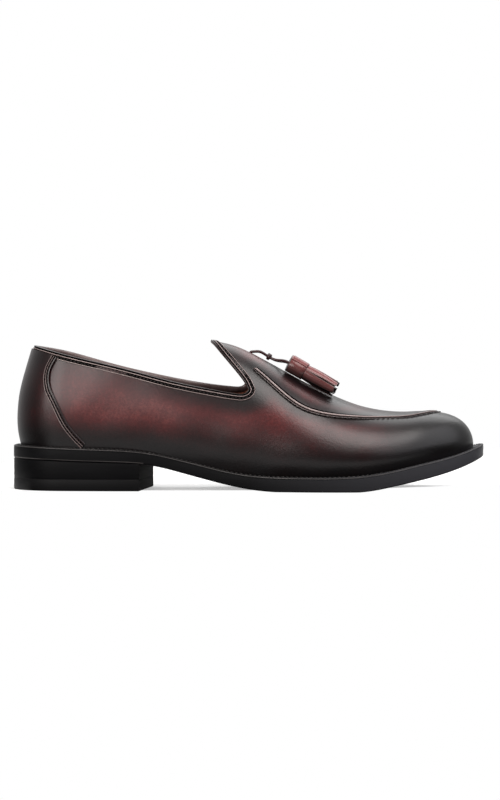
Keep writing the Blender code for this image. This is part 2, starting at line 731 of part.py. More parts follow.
def main():
    for old in list(bpy.data.objects):
        bpy.data.objects.remove(old)
    sole_leather = material("black edge leather", (0.012, 0.012, 0.013), 0.4)
    lift_rubber = material("black heel rubber", (0.010, 0.010, 0.010), 0.6)
    calf = material("burnished calf", (0.090, 0.020, 0.018), 0.35)
    dark_calf = material("dark burnished calf", (0.035, 0.010, 0.011), 0.35)
    edge_calf = material("folded calf edge", (0.050, 0.014, 0.015), 0.4)
    seam_calf = material("raised seam calf", (0.020, 0.010, 0.011), 0.45)
    tassel_calf = material("glossy tassel calf", (0.150, 0.035, 0.040), 0.25)
    lace_calf = material("dark lace leather", (0.060, 0.020, 0.022), 0.35)
    lining = material("tan lining leather", (0.170, 0.065, 0.040), 0.6)

    frame = shoe_frame()
    make_outsole(frame, sole_leather)
    make_heel(frame, sole_leather, lift_rubber)
    make_insole(frame, lining)
    loop, outs = make_upper(frame, calf)
    make_counter(frame, dark_calf)
    make_collar_bead(loop, outs, frame, edge_calf)
    make_apron_seam(frame, seam_calf)
    for name, places in TASSELS.items():
        start, direction = make_tassel(name, places, frame, tassel_calf, tassel_calf)
        make_lace(name, start, direction, frame, lace_calf)
    make_knot(frame, lace_calf)


main()
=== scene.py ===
# A right tassel loafer in burnished calf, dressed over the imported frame.
import math
import bpy
import numpy as np
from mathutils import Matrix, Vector
from mathutils.kdtree import KDTree


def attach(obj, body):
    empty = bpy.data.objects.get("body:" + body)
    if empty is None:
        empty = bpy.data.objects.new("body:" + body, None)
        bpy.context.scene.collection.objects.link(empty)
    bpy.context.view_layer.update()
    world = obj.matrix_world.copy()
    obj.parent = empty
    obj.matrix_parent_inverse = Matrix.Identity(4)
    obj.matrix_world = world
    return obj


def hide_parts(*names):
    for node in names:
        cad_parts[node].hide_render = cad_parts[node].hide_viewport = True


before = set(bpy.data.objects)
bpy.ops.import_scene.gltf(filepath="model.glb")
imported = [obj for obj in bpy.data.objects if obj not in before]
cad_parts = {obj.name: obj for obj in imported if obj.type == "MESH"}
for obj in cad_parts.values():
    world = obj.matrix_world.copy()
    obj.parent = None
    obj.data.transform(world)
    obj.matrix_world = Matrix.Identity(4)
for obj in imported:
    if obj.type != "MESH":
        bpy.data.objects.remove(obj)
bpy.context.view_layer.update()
print("frame loaded:", len(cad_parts), "nodes")

mm = 0.001
lateral, medial = -1, 1  # the outer and the inner side of the foot
shoeLength, lastLength = 305.0, 298.5
gap, wall = 0.3, 1.8


# camera, floor and light

studio = {
    "cameraPlace": (0.0007, -1.5015, 0.080),
    "cameraTilt": -0.864,  # degrees below level
    "lens": 104.2,
    "floor": [(-0.20, -0.025), (0.05, -0.022), (0.17, 0.055), (0.50, 0.20), (0.50, 0.70), (-0.20, 0.70)],
    "glow": 0.42,  # the sheet is lit from below, so shadows on it stay pale
    "rear": 0.65,  # white backdrop and ceiling
    "rearAim": (0.0, 0.8, 0.6),
    "fade": (-0.15, 0.8),  # from the dark front to the bright rear
    "front": 0.03,  # dark side of the room, behind the camera
}

camera = bpy.data.objects.new("camera", bpy.data.cameras.new("camera"))
camera.location = studio["cameraPlace"]
camera.rotation_euler = (math.radians(90 + studio["cameraTilt"]), 0, 0)
camera.data.lens = studio["lens"]
camera.data.sensor_width = 36
camera.data.clip_start = 0.05
bpy.context.collection.objects.link(camera)
bpy.context.scene.camera = camera
bpy.context.scene.view_settings.view_transform = "Standard"
bpy.context.scene.view_settings.look = "None"

lamps = [  # name, place, aimed at, width, height, power, colour
    ("rearSoftbox", (0.02, 0.86, 1.13), (0.0, 0.0, 0.05), 2.0, 1.0, 11.6, "#ffffff"),
    ("leftSoftbox", (-0.475, -0.60, 0.26), (-0.11, -0.03, 0.06), 0.57, 0.34, 3.6, "#fffaf7"),
    ("frontSoftbox", (0.32, -0.62, 1.00), (0.08, 0.0, 0.03), 0.70, 0.66, 9.2, "#fffaf7"),
    ("toeSoftbox", (0.93, -0.38, 0.64), (0.12, 0.0, 0.03), 1.0, 0.9, 4.5, "#fbfaff"),
    ("floorBounce", (0.0, -0.125, -0.002), (0.0, -0.1249, 1.0), 0.44, 0.09, 0.09, "#ffffff"),
]


def toLinear(hexColour):
    parts = [int(hexColour[i:i + 2], 16) / 255 for i in (1, 3, 5)]
    return [part / 12.92 if part <= 0.04045 else ((part + 0.055) / 1.055) ** 2.4 for part in parts] + [1.0]


def addNode(tree, kind, inputs=None, stops=None, **settings):
    made = tree.nodes.new("ShaderNode" + kind)
    for name, value in settings.items():
        setattr(made, name, value)
    for name, value in (inputs or {}).items():
        if isinstance(value, bpy.types.NodeSocket):
            tree.links.new(value, made.inputs[name])
        else:
            made.inputs[name].default_value = value
    for i, (place, colour) in enumerate(stops or []):
        stop = made.color_ramp.elements[i] if i < 2 else made.color_ramp.elements.new(place)
        stop.position = place
        stop.color = toLinear(colour)
    return made


for name, place, target, width, height, power, colour in lamps:
    lamp = bpy.data.objects.new(name, bpy.data.lights.new(name, "AREA"))
    lamp.data.shape = "RECTANGLE"
    lamp.data.size, lamp.data.size_y = width, height
    lamp.data.energy = power
    lamp.data.color = toLinear(colour)[:3]
    lamp.location = place
    lamp.rotation_euler = (Vector(target) - Vector(place)).to_track_quat("-Z", "Y").to_euler()
    lamp.visible_camera = False
    bpy.context.collection.objects.link(lamp)
bpy.data.objects["rearSoftbox"].visible_diffuse = False  # it only gives the sheen along the top

room = bpy.data.worlds.new("studioRoom")
room.use_nodes = True
bpy.context.scene.world = room
roomTree = room.node_tree
roomTree.nodes.clear()
backdrop = addNode(roomTree, "Background", {"Color": (1, 1, 1, 1), "Strength": 1.0})
direction = addNode(roomTree, "TexCoord").outputs["Generated"]
behind = addNode(roomTree, "VectorMath", {
    0: direction, 1: studio["rearAim"],
}, operation="DOT_PRODUCT")
roomLevel = addNode(roomTree, "MapRange", {
    "Value": behind.outputs["Value"], "From Min": studio["fade"][0], "From Max": studio["fade"][1],
    "To Min": studio["front"], "To Max": studio["rear"],
})
roomLight = addNode(roomTree, "Background", {
    "Color": (1, 1, 1, 1), "Strength": roomLevel.outputs["Result"],
})
seen = addNode(roomTree, "LightPath").outputs["Is Camera Ray"]  # paper white behind the shoe
roomMix = addNode(roomTree, "MixShader", {
    0: seen, 1: roomLight.outputs[0], 2: backdrop.outputs[0],
})
addNode(roomTree, "OutputWorld", {"Surface": roomMix.outputs[0]})


# the last: the same tables as the solids, in millimetres

def smoothCurve(places, values):
    places = np.array(places, float)
    values = np.array(values, float)
    gaps = np.diff(places)
    slopes = np.diff(values) / gaps
    count = len(places)
    matrix = np.eye(count)
    right = np.zeros(count)
    for i in range(1, count - 1):
        matrix[i, i - 1:i + 2] = gaps[i - 1], 2 * (gaps[i - 1] + gaps[i]), gaps[i]
        right[i] = 6 * (slopes[i] - slopes[i - 1])
    bends = np.linalg.solve(matrix, right)

    def value(place):
        place = np.clip(place, places[0], places[-1])
        i = np.clip(np.searchsorted(places, place) - 1, 0, count - 2)
        left = places[i + 1] - place
        past = place - places[i]
        curved = (bends[i] * left ** 3 + bends[i + 1] * past ** 3) / (6 * gaps[i])
        low = (values[i] / gaps[i] - bends[i] * gaps[i] / 6) * left
        high = (values[i + 1] / gaps[i] - bends[i + 1] * gaps[i] / 6) * past
        return curved + low + high

    return value


def smoothTable(names, rows):
    columns = list(zip(*rows))
    return {name: smoothCurve(columns[0], column) for name, column in zip(names[1:], columns[1:])}


sole = smoothTable(("station", "centre", "half", "top", "bottom"), [
    (0, 4.0, 33.0, 28.6, 20.3),
    (22, 2.4, 33.3, 27.9, 19.5),
    (43, 0.8, 33.5, 27.1, 18.7),
    (65, -1.4, 33.0, 26.4, 18.1),
    (83, -3.0, 31.5, 25.1, 17.2),
    (95, -4.0, 30.4, 23.2, 15.4),
    (106, -4.6, 30.0, 20.7, 12.7),
    (120, -4.8, 31.0, 17.3, 8.9),
    (137, -4.5, 33.8, 13.2, 4.6),
    (152, -3.6, 37.8, 10.7, 1.6),
    (167, -2.6, 42.4, 9.6, 0.1),
    (185, -1.2, 47.8, 9.3, -0.4),
    (213, 1.2, 52.0, 9.5, -0.4),
    (228, 2.4, 51.6, 10.7, 0.6),
    (243, 3.8, 50.0, 13.1, 3.2),
    (262, 5.2, 47.5, 17.2, 7.2),
    (278, 6.2, 45.5, 20.7, 11.2),
    (292, 7.0, 44.0, 24.6, 15.8),
    (305, 7.6, 43.0, 29.2, 21.2),
])
last = smoothTable(("station", "lateral", "medial", "tuckLateral", "tuckMedial", "ridge", "square"), [
    (0, 30.5, 30.5, 0.06, 0.06, 138.0, 2.2),
    (40, 31.2, 31.0, 0.07, 0.07, 138.0, 2.2),
    (70, 30.8, 30.0, 0.08, 0.10, 133.0, 2.2),
    (95, 31.2, 29.4, 0.11, 0.16, 118.0, 2.2),
    (112, 32.2, 30.0, 0.12, 0.18, 104.0, 2.3),
    (128, 33.6, 31.6, 0.12, 0.17, 96.4, 2.4),
    (140, 35.2, 33.8, 0.11, 0.14, 93.6, 2.4),
    (152, 37.2, 36.8, 0.11, 0.12, 88.9, 2.4),
    (164, 39.7, 40.0, 0.10, 0.10, 82.6, 2.3),
    (176, 42.4, 43.0, 0.10, 0.09, 75.9, 2.2),
    (192, 45.6, 46.0, 0.09, 0.08, 67.4, 2.1),
    (210, 47.6, 48.2, 0.09, 0.08, 59.0, 2.1),
    (222, 47.8, 48.6, 0.08, 0.08, 54.6, 2.2),
    (236, 46.8, 48.0, 0.08, 0.07, 51.2, 2.3),
    (252, 44.8, 46.0, 0.07, 0.07, 49.9, 2.4),
    (266, 43.0, 44.0, 0.06, 0.06, 50.8, 2.5),
    (282, 41.0, 42.0, 0.06, 0.06, 54.4, 2.5),
    (298.5, 39.0, 40.0, 0.05, 0.05, 61.0, 2.5),
])
leanForward = smoothTable(("height", "forward"), [
    (28, 6.0), (38, 4.0), (50, 3.7), (64, 5.4), (77, 8.8), (90, 12.7), (100, 16.0),
])["forward"]
collarHeight = smoothTable(("station", "lateral", "medial"), [
    (0, 93.0, 93.0),
    (18, 88.7, 90.3),
    (46, 83.3, 84.6),
    (75, 77.3, 78.0),
    (102, 70.2, 72.2),
    (128, 64.9, 67.8),
    (146, 62.0, 66.0),
    (155, 61.2, 65.6),
])


sideNames = {lateral: "lateral", medial: "medial"}
soleHeelRound, lastHeelRound = 34, 30  # reach of the round outlines at the heel
soleToeRound, lastToeRound = 85, 80  # and at the toe
heelPower, toePower = 2.1, 2.2  # how full those outlines are
toeFall = 40  # reach over which the last comes down at the toe
leanReach = 80  # the heel's lean fades out over this length
featherLevel = 28  # height of the sole's top at the heel
tuckHeight = 0.34  # the walls draw in below this share of their height
alongStep, aroundStep = 0.2, 0.01  # between the neighbours that give a direction on the upper


def unit(vectors):
    return vectors / np.linalg.norm(vectors, axis=-1, keepdims=True)


def roundOff(distance, reach, power):
    share = np.clip(distance / reach, 0, 1)
    return (1 - (1 - share) ** power) ** (1 / power)


def blendUp(low, high, value):
    share = np.clip((value - low) / (high - low), 0, 1)
    return share * share * (3 - 2 * share)


def roundStart(reach, count):  # places that crowd together where a round outline begins
    return reach * (1 - np.cos(np.pi / 2 * np.arange(count) / count))


def roundEnd(end, reach, count):  # and where it closes
    return end - reach * (1 - np.sin(np.pi / 2 * np.arange(1, count + 1) / count))


def soleEdge(x, side):
    rounding = roundOff(x, soleHeelRound, heelPower) * roundOff(shoeLength - x, soleToeRound, toePower)
    return sole["centre"](x) + side * sole["half"](x) * rounding


def lean(station, height):
    share = np.clip(station / leanReach, 0, 1)
    return leanForward(height) * (1 - share) ** 2 * (1 + 2 * share)


def featherHeight(station):
    return sole["top"](station + lean(station, featherLevel)) + gap


def lastHeight(station):
    return (last["ridge"](station) - featherHeight(station)) * roundOff(lastLength - station, toeFall, 2)


def lastPoint(station, share, side):  # share runs from 0 at the sole to 1 on the ridge
    station, share = np.broadcast_arrays(np.asarray(station, float), np.asarray(share, float))
    name = sideNames[side]
    power = 2 / last["square"](station)
    rise = np.clip(np.sin(np.pi / 2 * share), 0, 1) ** power
    across = np.where(share >= 1, 0, np.clip(np.cos(np.pi / 2 * share), 0, 1) ** power)
    height = featherHeight(station) + lastHeight(station) * rise
    tuck = last["tuck" + name.capitalize()](station) * np.clip(1 - rise / tuckHeight, 0, 1) ** 2
    heelShare = roundOff(station, lastHeelRound, heelPower)
    half = last[name](station) * heelShare * roundOff(lastLength - station, lastToeRound, toePower)
    y = sole["centre"](station) + side * half * across * (1 - tuck)
    return np.stack([station + lean(station, height), y, height], axis=-1)


def shareAtHeight(station, height):
    rise = np.clip((height - featherHeight(station)) / lastHeight(station), 0, 1)
    return 2 / np.pi * np.arcsin(rise ** (last["square"](station) / 2))


def aroundPoint(station, around):  # around runs from the outer sole edge, 0, over the ridge, 1, to 2
    outer = lastPoint(station, np.minimum(around, 1), lateral)
    inner = lastPoint(station, np.minimum(2 - around, 1), medial)
    return np.where((np.asarray(around) <= 1)[..., None], outer, inner)


def surfaceAt(station, around):  # places on the upper, and the direction straight out of it
    station = np.asarray(station, float)
    around = np.asarray(around, float)
    along = aroundPoint(station + alongStep, around) - aroundPoint(station - alongStep, around)
    over = aroundPoint(station, around + aroundStep) - aroundPoint(station, around - aroundStep)
    return aroundPoint(station, around), unit(np.cross(along, over))


def aroundAtWidth(station, y):
    side = lateral if y < sole["centre"](station) else medial
    half = last[sideNames[side]](station)
    across = min(abs(y - sole["centre"](station)) / half, 1)
    share = 2 / math.pi * math.acos(across ** (last["square"](station) / 2))
    return share if side == lateral else 2 - share


edgeStations = np.linspace(0, shoeLength, 200)
shoeMiddle = (soleEdge(edgeStations, lateral).min() + soleEdge(edgeStations, medial).max()) / 2
toFrame = np.array((-shoeLength / 2, -shoeMiddle, 0.0))  # from the tables' places to the frame's


# mesh helpers

def addMesh(name, points, faces, finishes, riding="root", marks=None, finishOf=None, sharp=35):
    mesh = bpy.data.meshes.new(name)
    places = (np.asarray(points, float) + toFrame) * mm
    mesh.from_pydata(places.tolist(), [], [list(map(int, face)) for face in faces])
    for finish in finishes:
        mesh.materials.append(finish)
    for key, values in (marks or {}).items():
        mesh.attributes.new(key, "FLOAT", "POINT").data.foreach_set("value", np.asarray(values, np.float32))
    if finishOf is not None:
        mesh.polygons.foreach_set("material_index", np.asarray(finishOf, np.int32))
    mesh.shade_smooth()
    mesh.set_sharp_from_angle(angle=math.radians(sharp))
    mesh.update()
    made = bpy.data.objects.new(name, mesh)
    bpy.context.collection.objects.link(made)
    if riding:
        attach(made, riding)
    return made


def addGrid(points, faces, grid, side):  # a grid of places and its faces, wound so that they look outwards
    numbers = len(points) + np.arange(grid.shape[0] * grid.shape[1]).reshape(grid.shape[:2])
    points += list(grid.reshape(-1, 3))
    a, b, c, d = numbers[:-1, :-1], numbers[:-1, 1:], numbers[1:, 1:], numbers[1:, :-1]
    order = (a, b, c, d) if side == lateral else (d, c, b, a)
    faces += np.stack([part.ravel() for part in order], axis=1).tolist()


def weld(points, faces):
    index, kept, places = {}, [], []
    for point in points:
        key = tuple(np.round(point, 3) + 0.0)
        if key not in index:
            index[key] = len(kept)
            kept.append(point)
        places.append(index[key])
    merged = []
    for face in faces:
        corners = [places[i] for i in face]
        corners = [corner for i, corner in enumerate(corners) if corner != corners[i - 1]]
        if len(corners) > 2:
            merged.append(corners)
    return np.array(kept), merged


def sheetNormals(points, faces):
    quads = np.array([face if len(face) == 4 else face + face[-1:] for face in faces])
    corners = points[quads]
    spans = np.cross(corners[:, 2] - corners[:, 0], corners[:, 3] - corners[:, 1])
    normals = np.zeros_like(points)
    for i in range(4):
        np.add.at(normals, quads[:, i], spans)
    return normals / np.maximum(np.linalg.norm(normals, axis=1, keepdims=True), 1e-9)


def closeSheet(points, faces, normals, low, high):  # a wall between two offsets of a sheet
    count = len(points)
    edges = {(a, b) for face in faces for a, b in zip(face, face[1:] + face[:1])}
    rim = [[b, a, a + count, b + count] for a, b in edges if (b, a) not in edges]
    inner = [[i + count for i in face[::-1]] for face in faces]
    both = np.concatenate([points + normals * high, points + normals * low])
    return both, faces + inner + rim


def wayAlong(path):  # distance from the first place of a path to each
    return np.concatenate([[0], np.cumsum(np.linalg.norm(np.diff(path, axis=0), axis=1))])


def smoothLine(route, count):  # places evenly along a smooth curve through a route
    way = wayAlong(route)
    places = np.linspace(0, way[-1], count)
    return np.stack([smoothCurve(way, route[:, i])(places) for i in range(3)], axis=1)


def evenly(path, outs, step, closed=False):  # the same path with places a step apart
    path, outs = np.asarray(path, float), np.asarray(outs, float)
    if closed:
        path, outs = np.vstack([path, path[:1]]), np.vstack([outs, outs[:1]])
    way = wayAlong(path)
    places = np.linspace(0, way[-1], max(int(round(way[-1] / step)), 2) + 1)
    if closed:
        places = places[:-1]
    path, outs = [
        np.stack([np.interp(places, way, row) for row in rows.T], axis=1) for rows in (path, outs)
    ]
    return path, unit(outs)


def acrossPath(path, outs, closed=False):
    along = np.roll(path, -1, axis=0) - np.roll(path, 1, axis=0) if closed else np.gradient(path, axis=0)
    return unit(np.cross(outs, unit(along)))


def tubeFaces(rings, size, first=0, closed=False):  # a skin over rings of points, with ends unless closed
    faces = []
    for ring in range(rings if closed else rings - 1):
        here, there = first + ring * size, first + (ring + 1) % rings * size
        faces += [[here + i, here + (i + 1) % size, there + (i + 1) % size, there + i] for i in range(size)]
    if closed:
        return faces
    start, end = [list(range(first + ring * size, first + (ring + 1) * size)) for ring in (0, rings - 1)]
    return faces + [start[::-1], end]


def sweepStrip(path, outs, section, closed, taper=None):  # section rows: across, out, dark mark
    across, count = acrossPath(path, outs, closed), len(path)
    grow = np.ones(count) if taper is None else taper
    points = np.concatenate([
        path[i] + across[i] * section[:, :1] * grow[i] + outs[i] * section[:, 1:2] * grow[i]
        for i in range(count)
    ])
    return points, tubeFaces(count, len(section), 0, closed), np.tile(section[:, 2], count)


def roundedSection(rows):  # each corner of a section cut off, which rounds it
    rows = np.array(rows, float)
    after = np.roll(rows, -1, axis=0)
    return np.stack([rows * 0.75 + after * 0.25, rows * 0.25 + after * 0.75], axis=1).reshape(-1, 3)


def inGroove(faces, dark):  # 1 for the faces that lie in a seam's dark groove
    return np.array([int(np.mean([dark[i] for i in face]) > 0.84) for face in faces])


thread = {"sides": 6, "rings": 6, "step": 0.25, "thinEnd": 0.35}


def stitchRow(path, outs, shift, lift, pitch, fill, radius, slant=0.0, closed=False):
    path, outs = evenly(path, outs, thread["step"], closed)
    across = acrossPath(path, outs, closed)
    line = path + across * shift + outs * lift
    way = wayAlong(line)
    points, faces = [], []
    angles = [2 * math.pi * side / thread["sides"] for side in range(thread["sides"])]
    for start in np.arange(pitch * 0.3, way[-1] - pitch * 0.8, pitch):
        faces += tubeFaces(thread["rings"], thread["sides"], len(points))
        for ring in range(thread["rings"]):
            share = ring / (thread["rings"] - 1)
            at = start + pitch * fill * share
            i = int(np.argmin(abs(way - at)))
            bow = math.sin(math.pi * share)
            centre = line[i] + outs[i] * (bow * 0.8 - 0.5) * radius + across[i] * slant * (share - 0.5)
            thick = radius * (thread["thinEnd"] + (1 - thread["thinEnd"]) * bow ** 0.5)
            for angle in angles:
                sideways, upwards = thick * math.cos(angle), thick * math.sin(angle)
                points.append(centre + across[i] * sideways + outs[i] * upwards)
    return points, faces


def joinParts(parts):
    points, faces = [], []
    for somePoints, someFaces in parts:
        first = len(points)
        points += list(somePoints)
        faces += [[first + i for i in face] for face in someFaces]
    return points, faces


# materials

def newMaterial(name, roughness, ior=1.5, coat=0.0, coatRoughness=0.2, specular=0.5):
    material = bpy.data.materials.new(name)
    material.use_nodes = True
    tree = material.node_tree
    shader = tree.nodes["Principled BSDF"]
    for key, value in {
        "Roughness": roughness, "Metallic": 0.0, "IOR": ior, "Specular IOR Level": specular,
        "Coat Weight": coat, "Coat Roughness": coatRoughness,
    }.items():
        shader.inputs[key].default_value = value
    return material, tree, shader, addNode(tree, "TexCoord").outputs["Object"]


def finishSurface(tree, shader, colour, relief, strength, depth=0.2):  # depth in millimetres
    tree.links.new(colour, shader.inputs["Base Color"])
    bump = addNode(tree, "Bump", {"Height": relief, "Strength": strength, "Distance": depth * mm})
    tree.links.new(bump.outputs["Normal"], shader.inputs["Normal"])


calfLook = {  # colours from bare dye to wax, sizes in millimetres
    "stops": [(0.0, "#642928"), (0.12, "#4e1b1c"), (0.32, "#381415"), (0.55, "#220e0f"), (0.80, "#120a0b"),
              (1.0, "#080607")],
    "cloud": 14.0,
    "cloudStrength": 0.34,
    "fleck": 1.6,
    "fleckStrength": 0.30,
    "bump": 0.2,
    "grain": 0.8,  # real calf grain is about 0.2 mm, drawn coarser so that it shows
    "roughness": 0.35,
}


def makeCalf(name, look):
    # box calf, aniline dyed and burnished with dark wax: a close, smooth grain with a soft polish,
    # clouded where the dye soaked in and almost black where the wax was rubbed; the same mark also darkens
    # it with painted shade, under the tassels and on their undersides
    material, tree, shader, place = newMaterial(name, look["roughness"], 1.5, 0.15, 0.22, 0.42)
    waxAndShade = addNode(tree, "Attribute", attribute_name="waxAndShade").outputs["Fac"]
    cloud = addNode(tree, "TexNoise", {
        "Vector": place, "Scale": 1000 / look["cloud"], "Detail": 3.0,
    }).outputs["Fac"]
    fleck = addNode(tree, "TexNoise", {
        "Vector": place, "Scale": 1000 / look["fleck"], "Detail": 2.0,
    }).outputs["Fac"]
    grain = addNode(tree, "TexVoronoi", {"Vector": place, "Scale": 1000 / look["grain"]})
    clouded, flecked = [
        addNode(tree, "Math", {0: pattern, 1: strength, 2: -0.5 * strength}, operation="MULTIPLY_ADD")
        for pattern, strength in ((cloud, look["cloudStrength"]), (fleck, look["fleckStrength"]))
    ]
    uneven = addNode(tree, "Math", {
        0: clouded.outputs[0], 1: flecked.outputs[0],
    }, operation="ADD").outputs[0]
    waxed = addNode(tree, "Math", {0: waxAndShade, 1: uneven}, operation="ADD", use_clamp=True)
    dye = addNode(tree, "ValToRGB", {"Fac": waxed.outputs[0]}, look["stops"])
    sheen = addNode(tree, "Math", {
        0: cloud, 1: 0.12, 2: look["roughness"] - 0.06,
    }, operation="MULTIPLY_ADD")
    tree.links.new(sheen.outputs[0], shader.inputs["Roughness"])
    height = addNode(tree, "Math", {0: grain.outputs["Distance"], 1: fleck}, operation="ADD")
    finishSurface(tree, shader, dye.outputs["Color"], height.outputs[0], look["bump"])
    return material


def makeEdgeLeather(name, colours, roughness, layerSize, specular, paintedLightToToe=None):
    # leather edge, ironed and waxed: a satin face with faint layers along it
    material, tree, shader, place = newMaterial(name, roughness, specular=specular)
    drawn = addNode(tree, "Mapping", {"Vector": place, "Scale": (0.15, 0.15, 1.0)})
    layers = addNode(tree, "TexNoise", {
        "Vector": drawn.outputs[0], "Scale": 1000 / layerSize, "Detail": 3.0,
    }).outputs["Fac"]
    tone = addNode(tree, "Mix", {
        0: layers, 6: toLinear(colours[0]), 7: toLinear(colours[1]),
    }, data_type="RGBA").outputs[2]
    if paintedLightToToe:  # painted light: the edge is painted paler towards the toe, where the lamps on the right light it more
        along = addNode(tree, "SeparateXYZ", {0: place}).outputs["X"]
        share = addNode(tree, "MapRange", {"Value": along, "From Min": 0.0, "From Max": 0.13})
        tone = addNode(tree, "Mix", {
            0: share.outputs["Result"], 6: tone, 7: toLinear(paintedLightToToe),
        }, data_type="RGBA").outputs[2]
    finishSurface(tree, shader, tone, layers, 0.12)
    return material


def makeLining(name, colours, poreSize):
    # vegetable-tanned lining leather, unpolished: matt, with open pores and handling marks
    material, tree, shader, place = newMaterial(name, 0.62)
    blotch = addNode(tree, "TexNoise", {"Vector": place, "Scale": 1000 / 7.0, "Detail": 4.0})
    pores = addNode(tree, "TexNoise", {"Vector": place, "Scale": 1000 / poreSize, "Detail": 2.0})
    mixed = addNode(tree, "Math", {
        0: blotch.outputs["Fac"], 1: pores.outputs["Fac"],
    }, operation="MULTIPLY").outputs[0]
    tone = addNode(tree, "ValToRGB", {"Fac": mixed}, [(0.12, colours[0]), (0.40, colours[1])])
    finishSurface(tree, shader, tone.outputs["Color"], pores.outputs["Fac"], 0.25, 0.3)
    return material


def makeThread(name, colours):
    # waxed linen thread: two plies, with paler fine slanting ticks painted into the colour as their glints
    material, tree, shader, place = newMaterial(name, 0.5, specular=0.35)
    plies = addNode(tree, "TexNoise", {"Vector": place, "Scale": 1000 / 0.7}).outputs["Fac"]
    tone = addNode(tree, "ValToRGB", {"Fac": plies}, [(0.35, colours[0]), (0.65, colours[1])])
    finishSurface(tree, shader, tone.outputs["Color"], plies, 0.3)
    return material


def makeSoleRubber(name, colours):
    # moulded rubber: even and matt, with a fine bloom
    material, tree, shader, place = newMaterial(name, 0.52, 1.52, specular=0.14)
    bloom = addNode(tree, "TexNoise", {
        "Vector": place, "Scale": 1000 / 1.2, "Detail": 3.0,
    }).outputs["Fac"]
    tone = addNode(tree, "Mix", {
        0: bloom, 6: toLinear(colours[0]), 7: toLinear(colours[1]),
    }, data_type="RGBA")
    finishSurface(tree, shader, tone.outputs[2], bloom, 0.15)
    return material


burnishedCalf = makeCalf("burnishedCalf", calfLook)
foldedCalf = makeCalf("foldedCalf", {  # folded edges and ridges, painted pale as the highlight along their narrow tops
    **calfLook,
    "stops": [(0.0, "#b5a3a0"), (0.30, "#877674"), (0.65, "#2a1c1c"), (1.0, "#080607")],
    "cloud": 9.0,
    "cloudStrength": 0.2,
    "fleckStrength": 0.12,
    "bump": 0.08,
    "roughness": 0.30,
})
tasselCalf = makeCalf("tasselCalf", {
    **calfLook,
    "stops": [(0.0, "#8a4848"), (0.25, "#6a3a39"), (0.50, "#432927"), (0.80, "#1d1212"), (1.0, "#080506")],
    "cloud": 8.0,
    "cloudStrength": 0.10,
    "fleckStrength": 0.05,
    "bump": 0.03,
    "roughness": 0.31,
})
laceLeather = makeCalf("laceLeather", {
    **calfLook,
    "stops": [(0.0, "#3a1a1b"), (1.0, "#140a0b")],
    "cloud": 6.0,
    "roughness": 0.34,
})
# its edge is painted paler towards the toe, as painted light
blackEdgeLeather = makeEdgeLeather("blackEdgeLeather", ("#09090a", "#121214"), 0.46, 2.2, 0.13, "#424246")
# a paler line painted along the sole's top edge and over the heel joint, as their highlight
edgeHighlightLeather = makeEdgeLeather("edgeHighlightLeather", ("#161616", "#5e5a59"), 0.40, 1.6, 0.3)
heelLiftLeather = makeEdgeLeather("heelLiftLeather", ("#070708", "#0e0e10"), 0.46, 3.0, 0.08)
# near-black paint for the shade in the seams' grooves and on the heel's breast
seamShadow = makeEdgeLeather("paintedGrooveShade", ("#020202", "#060505"), 0.8, 1.0, 0.05)
soleBottomLeather = makeEdgeLeather("soleBottomLeather", ("#120f0e", "#1f1a18"), 0.5, 6.0, 0.2)
heelRubber = makeSoleRubber("heelRubber", ("#070708", "#0e0e10"))
liningLeather = makeLining("liningLeather", ("#4a1f17", "#9a6146"), 0.9)
sockLeather = makeLining("sockLeather", ("#4a2418", "#8a563c"), 1.1)
seamThread = makeThread("seamThread", ("#070606", "#332b2a"))
weltThread = makeThread("weltThread", ("#0c0b0b", "#2b2726"))
print("materials made:", len(bpy.data.materials))


# laces first: the same route as the solids

tassel = {
    "places": {"lateral": ((175.8, -8.5), (207.0, -12.5)), "medial": ((175.2, 5.4), (206.0, 8.0))},
    "headLength": 11.4,
    "headRadius": 6.0,
    "fringeLength": 21.0,
    "fringeRadius": 5.2,
    "rest": 0.5,  # room between the tassels and the vamp
}
lace = {
    "radius": 0.9,
    "step": 1.2,
    "beforeHead": 0.2,
    "inHead": 8.5,
    "rootBack": 1.9,  # the lace comes out of the vamp this far behind its first place
    "rootSides": 12,
    "rootRings": 14,
    "waxAndShade": 0.35,
    "routes": {
        "lateral": [(155.6, -3.6, 88.7), (159.6, -2.9, 88.6), (163.4, -1.3, 86.6), (167.4, -1.2, 84.2),
                    (171.0, -2.6, 83.2), (174.8, -5.2, 82.9)],
        "medial": [(155.2, 3.8, 88.7), (159.4, 3.1, 88.8), (163.4, 1.3, 86.6), (167.4, 1.2, 84.2),
                   (171.0, 2.0, 82.8), (174.8, 3.6, 82.3)],
    },
}


def tasselLine(name):  # start of the head and direction of the tassel, lying on the vamp
    (headX, headY), (tipX, tipY) = tassel["places"][name]
    base, out = surfaceAt(headX, aroundAtWidth(headX, headY))
    start = base + out * (tassel["headRadius"] + tassel["rest"])
    base, out = surfaceAt(tipX, aroundAtWidth(tipX, tipY))
    end = base + out * (tassel["fringeRadius"] + tassel["rest"])
    return start, unit(end - start)


laces = {}
for name, route in lace["routes"].items():
    start, direction = tasselLine(name)
    ends = [start - direction * lace["beforeHead"], start + direction * lace["inHead"]]
    route = np.vstack([route, ends])
    line = smoothLine(route, int(wayAlong(route)[-1] / lace["step"]) + 1)
    curve = bpy.data.curves.new("lace" + name.capitalize(), "CURVE")
    curve.dimensions = "3D"
    curve.bevel_depth = lace["radius"] * mm
    curve.bevel_resolution = 4
    curve.use_fill_caps = True
    spline = curve.splines.new("POLY")
    spline.points.add(len(line) - 1)
    for point, place in zip(spline.points, (line + toFrame) * mm):
        point.co = (*place, 1)
    curve.materials.append(laceLeather)
    made = bpy.data.objects.new(curve.name, curve)
    bpy.context.collection.objects.link(made)
    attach(made, "root")
    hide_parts("lace_" + name)
    length = wayAlong(line)[-1] * mm
    laces[name] = {"object": made, "line": line, "length": length}
print("laces laid:", [round(item["length"], 4) for item in laces.values()])


# the upper

